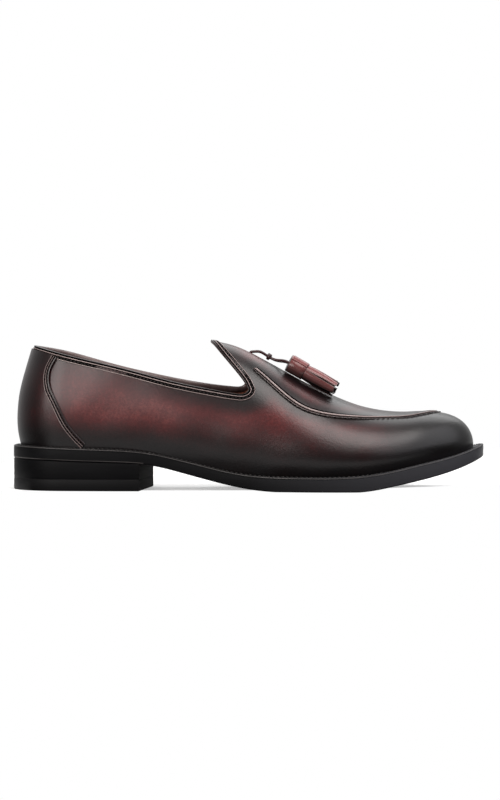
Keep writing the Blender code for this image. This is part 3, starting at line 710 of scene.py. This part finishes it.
upper = {
    "throat": {lateral: 154.7, medial: 152.5},
    "throatRound": 8.5,
    "throatRise": 6.0,
    "edgeHeight": 2.5,  # the folded edge stands this far above the wall
    "tongueTip": 130.5,
    "sideRows": 54,
    "tongueRows": 36,
    "heelColumns": 24,
    "collarColumns": 64,
    "turnColumns": 14,
    "frontColumns": 96,
    "toeCrowding": 1.6,  # the columns stand closer towards the toe
    "unevenness": 0.14,  # hand-lasted leather isn't dead smooth
}
tongueEdge = smoothTable(("row", "back"), [
    (0, 1), (0.09, 0.91), (0.22, 0.70), (0.37, 0.46), (0.58, 0.22), (0.80, 0.07), (0.93, 0.01), (1, 0),
])["back"]


def wallHeight(station, side):
    start = upper["throat"][side] - upper["throatRound"]
    share = np.clip((station - start) / upper["throatRound"], 0, 1)
    turned = upper["throatRise"] * (1 - np.sqrt(1 - share ** 2))
    return collarHeight[sideNames[side]](station) - upper["edgeHeight"] + turned


def upperSheet():
    heel = roundStart(lastHeelRound, upper["heelColumns"])
    fractions = 1 - (1 - np.linspace(0, 1, upper["frontColumns"])) ** upper["toeCrowding"]
    rows = np.linspace(0, 1, upper["sideRows"])[:, None]
    tongueRows = np.linspace(0, 1, upper["tongueRows"])[:, None]
    points, faces, edges = [], [], {}
    for side in (lateral, medial):
        throat, turn = upper["throat"][side], upper["throatRound"]
        middle = np.linspace(lastHeelRound, throat - turn, upper["collarColumns"])
        rear = np.concatenate([heel, middle, roundEnd(throat, turn, upper["turnColumns"])])
        throatShare = float(shareAtHeight(throat, wallHeight(throat, side)))
        tops = shareAtHeight(rear, wallHeight(rear, side))
        tops = np.concatenate([tops, np.full(len(fractions) - 1, throatShare)])
        stations = np.concatenate([rear, throat + (lastLength - throat) * fractions[1:]])
        wallGrid = lastPoint(stations[None, :], tops[None, :] * rows, side)
        edge = upper["tongueTip"] + (throat - upper["tongueTip"]) * tongueEdge(tongueRows)
        tongueStations = edge + (lastLength - edge) * fractions[None, :]
        tongueGrid = lastPoint(tongueStations, throatShare + (1 - throatShare) * tongueRows, side)
        addGrid(points, faces, wallGrid, side)
        addGrid(points, faces, tongueGrid, side)
        edges[side] = np.vstack([wallGrid[-1, :len(rear)], tongueGrid[1:, 0]])
    loop = np.vstack([edges[lateral], edges[medial][-2:0:-1]])
    points, faces = weld(points, faces)
    return points, faces, loop


apron = {
    "start": 156.0,
    "end": 274.5,
    "round": 26.0,
    "straightPlaces": 90,
    "turnPlaces": 40,
    "spacing": 0.8,
    "tip": 2.2,  # both ends taper off over this length
    "stitches": {"lift": 0.24, "pitch": 3.4, "fill": 0.64, "radius": 0.42, "slant": 0.5},
}
apronShare = smoothTable(("station", "share"), [
    (150, 0.53), (157, 0.565), (168, 0.635), (185, 0.715), (198, 0.70), (212, 0.65), (225, 0.60),
    (237, 0.545), (249, 0.51), (262, 0.52), (275, 0.53),
])["share"]


def apronPath():
    straight = np.linspace(apron["start"], apron["end"] - apron["round"], apron["straightPlaces"])
    stations = np.concatenate([straight, roundEnd(apron["end"], apron["round"], apron["turnPlaces"])])
    across = apronShare(stations) * roundOff(apron["end"] - stations, apron["round"], 2)
    shares = 2 / np.pi * np.arccos(across ** (last["square"](stations) / 2))
    stations = np.concatenate([stations, stations[-2::-1]])
    return evenly(*surfaceAt(stations, np.concatenate([shares, 2 - shares[-2::-1]])), apron["spacing"])


counterEdge = smoothTable(("height", "station"), [
    (27, 45.0), (36, 37.0), (45, 30.8), (58, 24.0), (65, 19.5), (73, 16.2), (80, 15.4), (87, 17.0),
    (95, 20.0),
])["station"]
counter = {
    "low": 29.5,
    "high": 89.5,
    "margin": 0.8,
    "thickness": 1.0,
    "rows": 44,
    "columns": 34,
    "from": -0.02,  # just under the sole's feather
    "to": 1.0,  # up to the folded edge
    "edgePlaces": 90,
    "spacing": 0.8,
    "stitches": {"lift": 1.22, "pitch": 2.2, "fill": 0.70, "radius": 0.27},
    "stitchRows": (-0.70, -2.21),
}


def counterPoints(share, way, side):  # share: 0 at the back to 1 at the front edge; way: 0 low to 1 high
    edge = counterEdge(counter["low"] + (counter["high"] - counter["low"]) * way)
    turn, quarter = lastHeelRound, lastHeelRound * np.pi / 2
    reach = np.where(edge < turn, turn * np.arccos(np.clip(1 - edge / turn, -1, 1)), quarter + edge - turn)
    distance = reach * share
    station = np.where(distance < quarter, turn * (1 - np.cos(distance / turn)), turn + distance - quarter)
    low = featherHeight(station) + counter["margin"]
    high = wallHeight(station, side)
    return station, shareAtHeight(station, low + (high - low) * way)


upperPoints, upperFaces, collarLoop = upperSheet()
upperNormals = sheetNormals(upperPoints, upperFaces)
lowest = upperPoints[:, 2] < featherHeight(upperPoints[:, 0]) + 0.05
level = upperNormals * (1, 1, 0)
level /= np.maximum(np.linalg.norm(level, axis=1, keepdims=True), 1e-9)
upperNormals = np.where(lowest[:, None], level, upperNormals)
seamPath, seamOuts = apronPath()


def treeOf(points):
    tree = KDTree(len(points))
    for i, point in enumerate(points):
        tree.insert(point, i)
    tree.balance()
    return tree


collarTree, seamTree = treeOf(collarLoop), treeOf(seamPath)
waxAndShadeTable = {  # strength, then the millimetres over which the dark wax fades out, and under the tassels the painted shadow
    "sole": (0.92, 1.5, 24.0),
    # painted shadow that the tassels cast on the vamp
    "tassel": (0.88, 7.0, 21.0),
    "heel": (0.62, 2.0, 40.0),
    "toe": (0.97, 206.0, 276.0),
    "collar": (0.22, 2.0, 15.0),
    "collarForward": (0.42, 70.0, 125.0),  # added to the collar's towards the throat
    "seam": (0.70, 1.5, 11.0),
    "throat": (0.50, 4.0, 18.0),
    "waist": 17.0,  # the sole's wax reaches this much higher in the middle
    "waistStart": (95.0, 130.0),
    "waistEnd": (205.0, 240.0),
    "toeSlant": 0.25,  # higher up, the toe's wax starts further back
    "everywhere": 0.10,
}


def fromTassel(points):
    distances = []
    for name in tassel["places"]:
        start, direction = tasselLine(name)
        along = np.clip((points - start) @ direction, 0, tassel["headLength"] + tassel["fringeLength"])
        distances.append(np.linalg.norm(points - start - along[:, None] * direction, axis=1))
    return np.minimum(*distances)


def waxAndShadeAt(points):
    points = np.asarray(points, float)
    x, z = points[:, 0], points[:, 2]
    fromCollar = np.array([collarTree.find(point)[2] for point in points])
    fromSeam = np.array([seamTree.find(point)[2] for point in points])
    fromThroat = np.linalg.norm((points - collarLoop[np.argmax(collarLoop[:, 0])])[:, (0, 2)], axis=1)
    waist = waxAndShadeTable["waist"] * blendUp(*waxAndShadeTable["waistStart"], x) * (1 - blendUp(*waxAndShadeTable["waistEnd"], x))
    collarMore = waxAndShadeTable["collarForward"][0] * blendUp(*waxAndShadeTable["collarForward"][1:], x)
    bare = 1 - waxAndShadeTable["toe"][0] * blendUp(*waxAndShadeTable["toe"][1:], x + waxAndShadeTable["toeSlant"] * (z - 30))
    for name, distance, further, more, power in (
        ("sole", z - sole["top"](x), waist, 0, 1.2),
        ("heel", x - leanForward(z), 0, 0, 1),
        ("collar", fromCollar, 0, collarMore, 1),
        ("seam", fromSeam, 0, 0, 1),
        ("throat", fromThroat, 0, 0, 1),
        # painted shadow of the tassels on the vamp
        ("tassel", fromTassel(points), 0, 0, 1),
    ):
        strength, near, far = waxAndShadeTable[name]
        bare = bare * (1 - (strength + more) * (1 - blendUp(near, far + further, distance)) ** power)
    return 1 - (1 - waxAndShadeTable["everywhere"]) * bare


def unevenAt(points):  # shallow waves, about 70 and 40 mm long
    x, y, z = points[:, 0], points[:, 1], points[:, 2]
    wave = np.sin(x / 11 + 1.3) * np.sin(z / 8 + y / 17) + np.sin(x / 6.3 - z / 9.1 + 0.7) * 0.5
    return upper["unevenness"] * wave * blendUp(0, 8, z - sole["top"](x))


uneven = upperNormals * unevenAt(upperPoints)[:, None]
shellPoints, shellFaces = closeSheet(upperPoints + uneven, upperFaces, upperNormals, -wall, 0)
finishOf = np.ones(len(shellFaces), int)
finishOf[:len(upperFaces)] = 0
upperLeather = addMesh("upperLeather", shellPoints, shellFaces, [burnishedCalf, liningLeather],
                       marks={"waxAndShade": np.tile(waxAndShadeAt(upperPoints), 2)}, finishOf=finishOf, sharp=50)
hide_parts("upper")
print("upper made:", len(shellFaces), "faces")


# heel counter with its double-stitched edge

def makeCounter():
    points, faces = [], []
    way = np.linspace(counter["from"], counter["to"], counter["rows"])[:, None]
    share = np.linspace(0, 1, counter["columns"])[None, :]
    for side in (lateral, medial):
        addGrid(points, faces, lastPoint(*counterPoints(share, way, side), side), side)
    points, faces = weld(points, faces)
    normals = sheetNormals(points, faces)
    solid, solidFaces = closeSheet(points, faces, normals, 0.05, gap + counter["thickness"])
    made = addMesh("heelCounter", solid, solidFaces, [burnishedCalf],
                   marks={"waxAndShade": np.tile(waxAndShadeAt(points), 2)}, sharp=50)
    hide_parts("counter")


# dark marks near 1 paint the grooves and the band's edge steps near black, as their shade
counterBand = roundedSection([  # across, out, dark
    (0.45, -0.2, 1), (0.47, 0.8, 0.8), (0.36, 1.46, 0.2), (0.02, 1.64, 0), (-0.12, 1.50, 0.2),
    (-0.20, 1.05, 1), (-1.20, 1.05, 1), (-1.28, 1.52, 0.1), (-1.62, 1.52, 0.1), (-1.70, 1.05, 1),
    (-2.72, 1.05, 1), (-2.80, 1.42, 0.5), (-3.2, 1.40, 0.7), (-3.8, 1.15, 0.8), (-3.8, 0.6, 1),
    (-2.0, 0.4, 1),
])


def counterPath(side):
    way = np.linspace(counter["from"], counter["to"], counter["edgePlaces"])
    stations, shares = counterPoints(1, way, side)
    path, outs = surfaceAt(stations, shares if side == lateral else 2 - shares)
    return evenly(path, outs, counter["spacing"])


makeCounter()
bandParts, stitchParts, bandMarks, bandDark = [], [], [], []
for side in (lateral, medial):
    path, outs = counterPath(side)
    section = counterBand * (-side, 1, 1)  # forward is on the other hand across the inner side
    points, faces, dark = sweepStrip(path, outs, section, False)
    if side == medial:
        faces = [face[::-1] for face in faces]
    bandParts.append((points, faces))
    near = waxAndShadeAt(points)
    bandMarks.append(1 - (1 - near * 0.35) * (1 - dark))
    bandDark.append(dark)
    for shift in counter["stitchRows"]:
        stitchParts.append(stitchRow(path, outs, shift * -side, **counter["stitches"]))
points, faces = joinParts(bandParts)
counterSeam = addMesh("counterSeam", points, faces, [foldedCalf, seamShadow],
                      marks={"waxAndShade": np.concatenate(bandMarks)},
                      finishOf=inGroove(faces, np.concatenate(bandDark)))
counterStitches = addMesh("counterStitches", *joinParts(stitchParts), [seamThread])
print("heel counter made")


# folded edge round the collar and the tongue

# dark marks near 1 paint the grooves near black, as their shade
collarSection = roundedSection([  # up, out, dark
    (-2.1, -0.3, 0.8), (-1.96, 0.15, 0.5), (-1.82, 0.55, 0.0), (-1.50, 0.55, 0.0), (-1.44, 0.06, 1),
    (0.40, 0.06, 1), (0.46, 0.46, 0.2), (0.66, 0.64, 0.0), (0.94, 0.54, 0.0), (1.00, 0.08, 1),
    (1.75, 0.10, 1), (1.85, 0.30, 0.9), (2.10, 0.34, 0.8), (2.35, 0.20, 0.7), (2.58, -0.3, 0.6),
    (2.65, -0.9, 0.5), (2.40, -1.7, 0.4), (1.6, -2.15, 0.4), (0.4, -2.2, 0.5), (-1.5, -2.0, 0.6),
    (-1.5, -1.2, 1),
])
collar = {
    "spacing": 0.9,
    "evened": 3,  # times that the turns between neighbouring places are evened out
    "stitches": {"lift": 0.22, "pitch": 2.3, "fill": 0.70, "radius": 0.34},
}
nearest = treeOf(upperPoints)
loopOuts = np.array([upperNormals[nearest.find(place)[1]] for place in collarLoop])
edgePath, edgeOuts = evenly(collarLoop, loopOuts, collar["spacing"], True)
for _ in range(collar["evened"]):
    edgeOuts = unit(edgeOuts + np.roll(edgeOuts, 1, axis=0) + np.roll(edgeOuts, -1, axis=0))
upwards = np.sign(np.median(acrossPath(edgePath, edgeOuts, True)[:, 2]))
points, faces, dark = sweepStrip(edgePath, edgeOuts, collarSection * (upwards, 1, 1), True)
near = waxAndShadeAt(points)
foldMarks = 1 - (1 - np.clip(near - 0.35, 0, 1) * 0.35) * (1 - dark)
collarFold = addMesh("collarFold", points, faces, [foldedCalf, seamShadow], marks={"waxAndShade": foldMarks},
                     finishOf=inGroove(faces, dark))
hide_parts("collar_bead")
collarRow = stitchRow(edgePath, edgeOuts, -0.53 * upwards, closed=True, **collar["stitches"])
collarStitches = addMesh("collarStitches", *collarRow, [seamThread])
print("collar edge made:", len(edgePath), "places")


# raised apron seam

# dark marks near 1 paint the grooves near black, as their shade
apronSection = roundedSection([  # towards the vamp's top, out, dark
    (2.35, -0.15, 0.7), (2.20, 0.10, 1), (0.78, 0.10, 1), (0.72, 0.50, 0.4), (0.50, 0.86, 0.0),
    (0.0, 1.02, 0.0), (-0.42, 0.86, 0.0), (-0.58, 0.50, 0.4), (-0.64, 0.08, 1), (-1.28, 0.06, 1),
    (-1.34, 0.34, 0.3), (-1.72, 0.34, 0.3), (-1.78, 0.05, 1), (-2.86, 0.05, 1), (-2.92, 0.20, 0.7),
    (-3.15, -0.15, 0.8),
])
inwards = np.sign(acrossPath(seamPath, seamOuts)[len(seamPath) // 4, 2])
fromEnd = np.minimum(np.arange(len(seamPath)), np.arange(len(seamPath))[::-1]) * apron["spacing"]
taper = roundOff(fromEnd + 0.15, apron["tip"], 2)
points, faces, dark = sweepStrip(seamPath, seamOuts, apronSection * (inwards, 1, 1), False, taper)
ridgeMarks = 1 - (1 - np.clip(waxAndShadeAt(points) - 0.6, 0, 0.5)) * (1 - dark)
apronRidge = addMesh("apronRidge", points, faces, [foldedCalf, seamShadow], marks={"waxAndShade": ridgeMarks},
                     finishOf=inGroove(faces, dark))
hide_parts("apron_seam")
apronRow = stitchRow(seamPath[2:-2], seamOuts[2:-2], -2.32 * inwards, **apron["stitches"])
apronStitches = addMesh("apronStitches", *apronRow, [seamThread])
print("apron seam made")


# knot and tassels

knot = {
    "place": (165.4, 0.0, 85.4),
    "slope": -31.0,
    "turns": 2.4,
    "places": 96,
    "length": 1.7,
    "width": 2.45,
    "height": 1.45,
    "strand": 0.82,
    "sides": 10,
}


def localToShoe(points, start, direction):
    turn = np.array(Vector(direction).to_track_quat("X", "Z").to_matrix())
    return np.asarray(points, float) @ turn.T + np.asarray(start, float)


def tube(line, radius, sides):
    line = np.asarray(line, float)
    along = unit(np.gradient(line, axis=0))
    first = np.cross(along, (1.0, 0.0, 0.0))
    first /= np.maximum(np.linalg.norm(first, axis=1, keepdims=True), 1e-6)
    second = np.cross(along, first)
    points = []
    for i, place in enumerate(line):
        for side in range(sides):
            angle = 2 * math.pi * side / sides
            points.append(place + radius * (first[i] * math.cos(angle) + second[i] * math.sin(angle)))
    return points, tubeFaces(len(line), sides)


def makeKnot():
    turns = np.linspace(0, 2 * np.pi * knot["turns"], knot["places"])
    along = np.linspace(-knot["length"] / 2, knot["length"] / 2, knot["places"])
    wrap = np.stack([along, knot["width"] * np.cos(turns), knot["height"] * np.sin(turns)], axis=1)
    points, faces = tube(wrap, knot["strand"], knot["sides"])
    slope = math.radians(knot["slope"])
    points = localToShoe(points, knot["place"], (math.cos(slope), 0, math.sin(slope)))
    made = addMesh("laceKnot", points, faces, [laceLeather],
                   marks={"waxAndShade": np.full(len(points), lace["waxAndShade"])})
    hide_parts("lace_knot")
    return made


def makeLaceRoot(name, line):
    # the short bend by which the lace comes up through the vamp
    along = unit(line[1] - line[0])
    station = line[0][0] - lace["rootBack"]
    foot, out = surfaceAt(station, aroundAtWidth(station, line[0][1] * 1.1))
    route = np.array([foot - out * 1.0, foot + out * 0.5, line[0] - along * 0.7, line[0] + along * 0.3])
    bend = smoothLine(route, lace["rootRings"])
    angles = 2 * np.pi * np.arange(lace["rootSides"]) / lace["rootSides"]
    ring = np.stack([np.cos(angles), np.sin(angles), 0 * angles], axis=1) * lace["radius"]
    points, faces, _ = sweepStrip(bend, np.tile((0.0, 1.0, 0.0), (len(bend), 1)), ring, False)
    made = addMesh("laceRoot" + name.capitalize(), points, faces, [laceLeather],
                   marks={"waxAndShade": np.full(len(points), lace["waxAndShade"])}, sharp=50)


rolledHead = {
    "step": 0.75,  # thickness of the rolled leather
    "stepAngle": 142,
    "corners": 70,
    "dark": 0.9,
    # the underside of the head is painted darker, as its shade
    "paintedShadeUnder": 0.62,
}


def makeHead(name, start, direction):
    # a strip rolled up on itself: its outer end stands up as a step along the head
    length, radius, step = tassel["headLength"], tassel["headRadius"], rolledHead["step"]
    stepAngle = math.radians(rolledHead["stepAngle"])
    turn = np.linspace(0.06, 2 * np.pi - 0.03, rolledHead["corners"])
    angles = np.concatenate([[0, 0.02], turn]) + stepAngle
    winding = (angles - stepAngle) / (2 * np.pi)
    outer = radius - step * (1 - winding) + 0.1
    outer[0] = radius + 0.1
    outer[1] = radius - step * 0.45
    profile = [  # along, share of the radius, dark
        (0.25, 0.42, 1), (0.05, 0.62, 0.5), (0.0, 0.78, 0.2), (0.0, 0.86, 0.8), (0.05, 0.94, 0.2),
        (0.45, 1, 0), (length * 0.35, 1.005, 0), (length * 0.7, 1.005, 0), (length - 0.35, 1, 0.1),
        (length, 0.95, 0.5), (length, 0.60, 1),
    ]
    points, marks = [], []
    for along, reach, dark in profile:
        for angle, far in zip(angles, outer):
            points.append((along, far * reach * math.cos(angle), far * reach * math.sin(angle)))
            marks.append(dark)
    # painted shade: darker towards the underside of the head
    under = np.tile(0.5 - 0.5 * np.sin(angles), len(profile))
    waxAndShade = np.clip(np.array(marks) * rolledHead["dark"] + under * rolledHead["paintedShadeUnder"], 0, 1)
    made = addMesh("tasselHead" + name.capitalize(), localToShoe(points, start, direction),
                   tubeFaces(len(profile), len(angles)), [tasselCalf], marks={"waxAndShade": waxAndShade}, sharp=40)
    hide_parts("tassel_head_" + name)
    return made


fringe = {
    "outerStrips": 5,
    "innerStrips": 6,
    "innerDepth": -1.35,
    "innerShare": 0.92,
    "firstAngle": 124,
    "width": 5.7,
    "thickness": 0.85,
    "length": 24.0,
    "insideHead": 1.2,
    "rings": 14,
    "columns": 7,
    "seed": {"lateral": 7, "medial": 10},
}


def makeFringe(name, start, direction):
    chance = np.random.default_rng(fringe["seed"][name])
    length, radius, columns = fringe["length"], tassel["fringeRadius"], fringe["columns"]
    parts, marks = [], []
    for count, depth, share in (
        (fringe["outerStrips"], 0.0, 1.0),
        (fringe["innerStrips"], fringe["innerDepth"], fringe["innerShare"]),
    ):
        for strip in range(count):
            middle = 2 * math.pi * (strip + 0.5 * (depth < 0)) / count + math.radians(fringe["firstAngle"])
            middle = middle + chance.uniform(-0.05, 0.05)
            width = fringe["width"] * (1.0 if depth == 0 else 0.65) * chance.uniform(0.92, 1.06)
            long = length * share - chance.uniform(0.0, 1.4)
            flare = chance.uniform(-0.20, 0.75)
            swing = chance.uniform(-0.14, 0.14)
            twist = chance.uniform(-0.55, 0.55)
            points = []
            for ring in range(fringe["rings"]):
                way = ring / (fringe["rings"] - 1)
                belly = 0.55 * math.sin(math.pi * min(way * 1.1, 1))
                far = radius - 0.75 + depth + belly + flare * way ** 2
                centre = middle + swing * way
                for layer in (0, 1):
                    for column in range(columns):
                        u = column / (columns - 1) - 0.5
                        if layer:
                            u = -u
                        edge = 1 - abs(2 * u) ** 4 * 0.35
                        lift = fringe["thickness"] * (0.5 * edge if layer == 0 else -0.5 * edge)
                        bent = far + lift + twist * u * way - 0.25 * (2 * u) ** 2 * way
                        angle = centre + u * width * (1 - 0.22 * way) / far
                        along = long * way + (0.25 * math.sin(9 * u + strip) if way == 1 else 0)
                        points.append((along, bent * math.cos(angle), bent * math.sin(angle)))
                        dark = 0.85 * layer + 0.30 * abs(2 * u) ** 6 + 0.25 * (way > 0.985)
                        # the inner strips, inside the bundle, are painted darker as their shade
                        marks.append(min(1, dark + 0.7 * (depth < 0)))
            parts.append((points, tubeFaces(fringe["rings"], columns * 2)))
    points, faces = joinParts(parts)
    base = start + direction * (tassel["headLength"] + gap - fringe["insideHead"])
    local = np.array(points)
    # painted shade: darker towards the strips' undersides
    under = 0.5 - 0.5 * local[:, 2] / np.maximum(np.hypot(local[:, 1], local[:, 2]), 0.1)
    waxAndShade = np.clip(np.array(marks) * 0.8 + under * 0.6, 0, 1)
    made = addMesh("tasselFringe" + name.capitalize(), localToShoe(points, base, direction), faces,
                   [tasselCalf], marks={"waxAndShade": waxAndShade}, sharp=45)
    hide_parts("tassel_fringe_" + name)
    return made


laceKnot = makeKnot()
for name, item in laces.items():
    start, direction = tasselLine(name)
    makeLaceRoot(name, item["line"])
    head = makeHead(name, start, direction)
    strips = makeFringe(name, start, direction)
print("knot and tassels made")


# sole, heel and sock

def ringOf(stations):
    outer = [(x, float(soleEdge(x, lateral))) for x in stations]
    inner = [(x, float(soleEdge(x, medial))) for x in stations[1:-1]]
    return np.array(outer + inner[::-1])


def insetRing(ring, amount):
    along = unit(np.roll(ring, -1, axis=0) - np.roll(ring, 1, axis=0))
    return ring + amount * np.stack([-along[:, 1], along[:, 0]], axis=1)


def stackLevels(ring, levels):  # each level: inset, height by x
    count = len(ring)
    points = []
    for inset, height in levels:
        points += [(x, y, float(height(x))) for x, y in insetRing(ring, inset)]
    faces = []
    for level in range(len(levels) - 1):
        for i in range(count):
            j = (i + 1) % count
            a, b = level * count, (level + 1) * count
            faces.append([b + i, b + j, a + j, a + i])
    for first, flip in ((0, False), ((len(levels) - 1) * count, True)):
        for i in range(count // 2):
            corners = list(dict.fromkeys([i, i + 1, count - i - 1, (count - i) % count]))
            corners = [first + corner for corner in corners]
            faces.append(corners[::-1] if flip else corners)
    return points, faces


def evenStations(startRound, length, endRound, startCount, middleCount, endCount):
    middle = np.linspace(startRound, length - endRound, middleCount + 1)
    return np.concatenate([roundStart(startRound, startCount), middle, roundEnd(length, endRound, endCount)])


def top(drop):
    return lambda x: sole["top"](x) - drop


def bottom(rise):
    return lambda x: np.maximum(sole["bottom"](x), 0) + rise


soleColumns, sockColumns = (30, 90, 52), (20, 60, 30)  # at the heel, along the sides and at the toe
soleRing = ringOf(evenStations(soleHeelRound, shoeLength, soleToeRound, *soleColumns))
soleLevels = [
    (6.0, top(0.0)), (1.0, top(0.0)), (0.45, top(0.06)), (0.12, top(0.35)), (0.0, top(0.75)),
    (0.0, top(1.05)), (0.22, top(1.2)), (0.22, top(1.4)), (0.0, top(1.55)), (0.0, bottom(1.0)),
    (0.12, bottom(0.55)), (0.35, bottom(0.22)), (0.75, bottom(0.05)), (1.2, bottom(0.0)),
    (7.0, bottom(0.0)),
]
edgeLines = {  # a painted highlight line: its lowest corner lies between the first two, its highest under the third
    "underTop": (0.3, 0.5, 0.9),
    "overHeel": (0.4, 0.7, 1.2),
    "underside": 0.09,
}
heel = {"breast": {lateral: 83.0, medial: 89.5}, "roundColumns": 28, "sideColumns": 20}


def onLine(heights, line):
    return line[0] < min(heights) < line[1] and max(heights) < line[2]


points, faces = stackLevels(soleRing, soleLevels)
finishOf = []
for face in faces:
    corners = [points[i] for i in face]
    below = [sole["top"](x) - z for x, _, z in corners]
    above = [z - bottom(0)(x) for x, _, z in corners]
    overHeel = corners[0][0] < heel["breast"][lateral] + 1
    if max(above) < edgeLines["underside"]:
        finishOf.append(1)
    elif onLine(below, edgeLines["underTop"]) or overHeel and onLine(above, edgeLines["overHeel"]):
        finishOf.append(2)
    else:
        finishOf.append(0)
soleFinishes = [blackEdgeLeather, soleBottomLeather, edgeHighlightLeather]
leatherSole = addMesh("leatherSole", points, faces, soleFinishes, finishOf=finishOf, sharp=30)
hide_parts("outsole")

welt = {"inset": 1.9, "stitches": {"lift": 0.12, "pitch": 3.0, "fill": 0.78, "radius": 0.3}}
weltPath = np.array([(x, y, float(sole["top"](x))) for x, y in insetRing(soleRing, welt["inset"])])
weltOuts = np.tile((0.0, 0.0, 1.0), (len(weltPath), 1))
weltRow = stitchRow(weltPath, weltOuts, 0, closed=True, **welt["stitches"])
weltStitches = addMesh("weltStitches", *weltRow, [weltThread])


def heelRing():
    sides = {}
    for side, breast in heel["breast"].items():
        straight = np.linspace(soleHeelRound, breast, heel["sideColumns"] + 1)
        stations = np.concatenate([roundStart(soleHeelRound, heel["roundColumns"]), straight])
        sides[side] = [(x, float(soleEdge(x, side))) for x in stations]
    return np.array(sides[lateral] + sides[medial][:0:-1])


def heelTop(drop):
    return lambda x: sole["bottom"](x) - gap - drop


def flat(height):
    return lambda x: height


blockLevels = [
    (1.4, heelTop(-0.2)), (0.50, heelTop(-0.15)), (0.16, heelTop(0.15)), (0.1, heelTop(0.5)),
    (0.1, flat(7.8)), (0.14, flat(7.6)), (0.25, flat(7.46)), (0.9, flat(7.45)),
]
liftLevels = [
    (0.9, flat(7.41)), (0.25, flat(7.40)), (0.14, flat(7.26)), (0.1, flat(7.1)),
    (0.0, flat(0.7)), (0.12, flat(0.3)), (0.4, flat(0.05)), (0.8, flat(0.0)),
]
for name, node, levels, finish, slot in (
    ("heelBlock", "heel_block", blockLevels, heelLiftLeather, "edge_leather"),
    ("topLift", "top_lift", liftLevels, heelRubber, "heel_rubber"),
):
    points, faces = stackLevels(heelRing(), levels)
    front = heel["breast"][lateral] - 1
    # the breast faces get the near-black paint, as painted shade under the arch
    breast = [int(min(points[i][0] for i in face) > front and len(face) == 4) for face in faces]
    made = addMesh(name, points, faces, [finish, seamShadow], finishOf=breast, sharp=30)
    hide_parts(node)

def overSole(rise):
    return lambda x: sole["top"](x) + gap + rise


sockStations = evenStations(lastHeelRound, lastLength, lastToeRound, *sockColumns)
sockOuter = lastPoint(sockStations, 0, lateral)[:, :2]
sockInner = lastPoint(sockStations[1:-1], 0, medial)[::-1, :2]
points, faces = stackLevels(np.vstack([sockOuter, sockInner]), [
    (16.0, overSole(2.9)), (9.0, overSole(3.0)), (2.6, overSole(3.1)), (2.3, overSole(2.6)),
    (2.3, overSole(0.0)),
])
sock = addMesh("leatherSock", points, faces, [sockLeather], sharp=50)
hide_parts("insole")
print("sole, heel and sock made")


# floor

floorMaterial, floorTree, floorShader, floorPlace = newMaterial("paperFloor", 0.7)
fibre = addNode(floorTree, "TexNoise", {"Vector": floorPlace, "Scale": 900.0})
paper = addNode(floorTree, "Mix", {
    0: fibre.outputs["Fac"], 6: toLinear("#f6f6f4"), 7: toLinear("#fafaf9"),
}, data_type="RGBA")
floorTree.links.new(paper.outputs[2], floorShader.inputs["Base Color"])
floorShader.inputs["Emission Color"].default_value = (1, 1, 1, 1)
floorShader.inputs["Emission Strength"].default_value = studio["glow"]
floorCorners = np.array([(x / mm, y / mm, 0) for x, y in studio["floor"]]) - toFrame
floor = addMesh("studioFloor", floorCorners, [list(range(len(floorCorners)))], [floorMaterial], riding=None)
print("floor and lights ready")
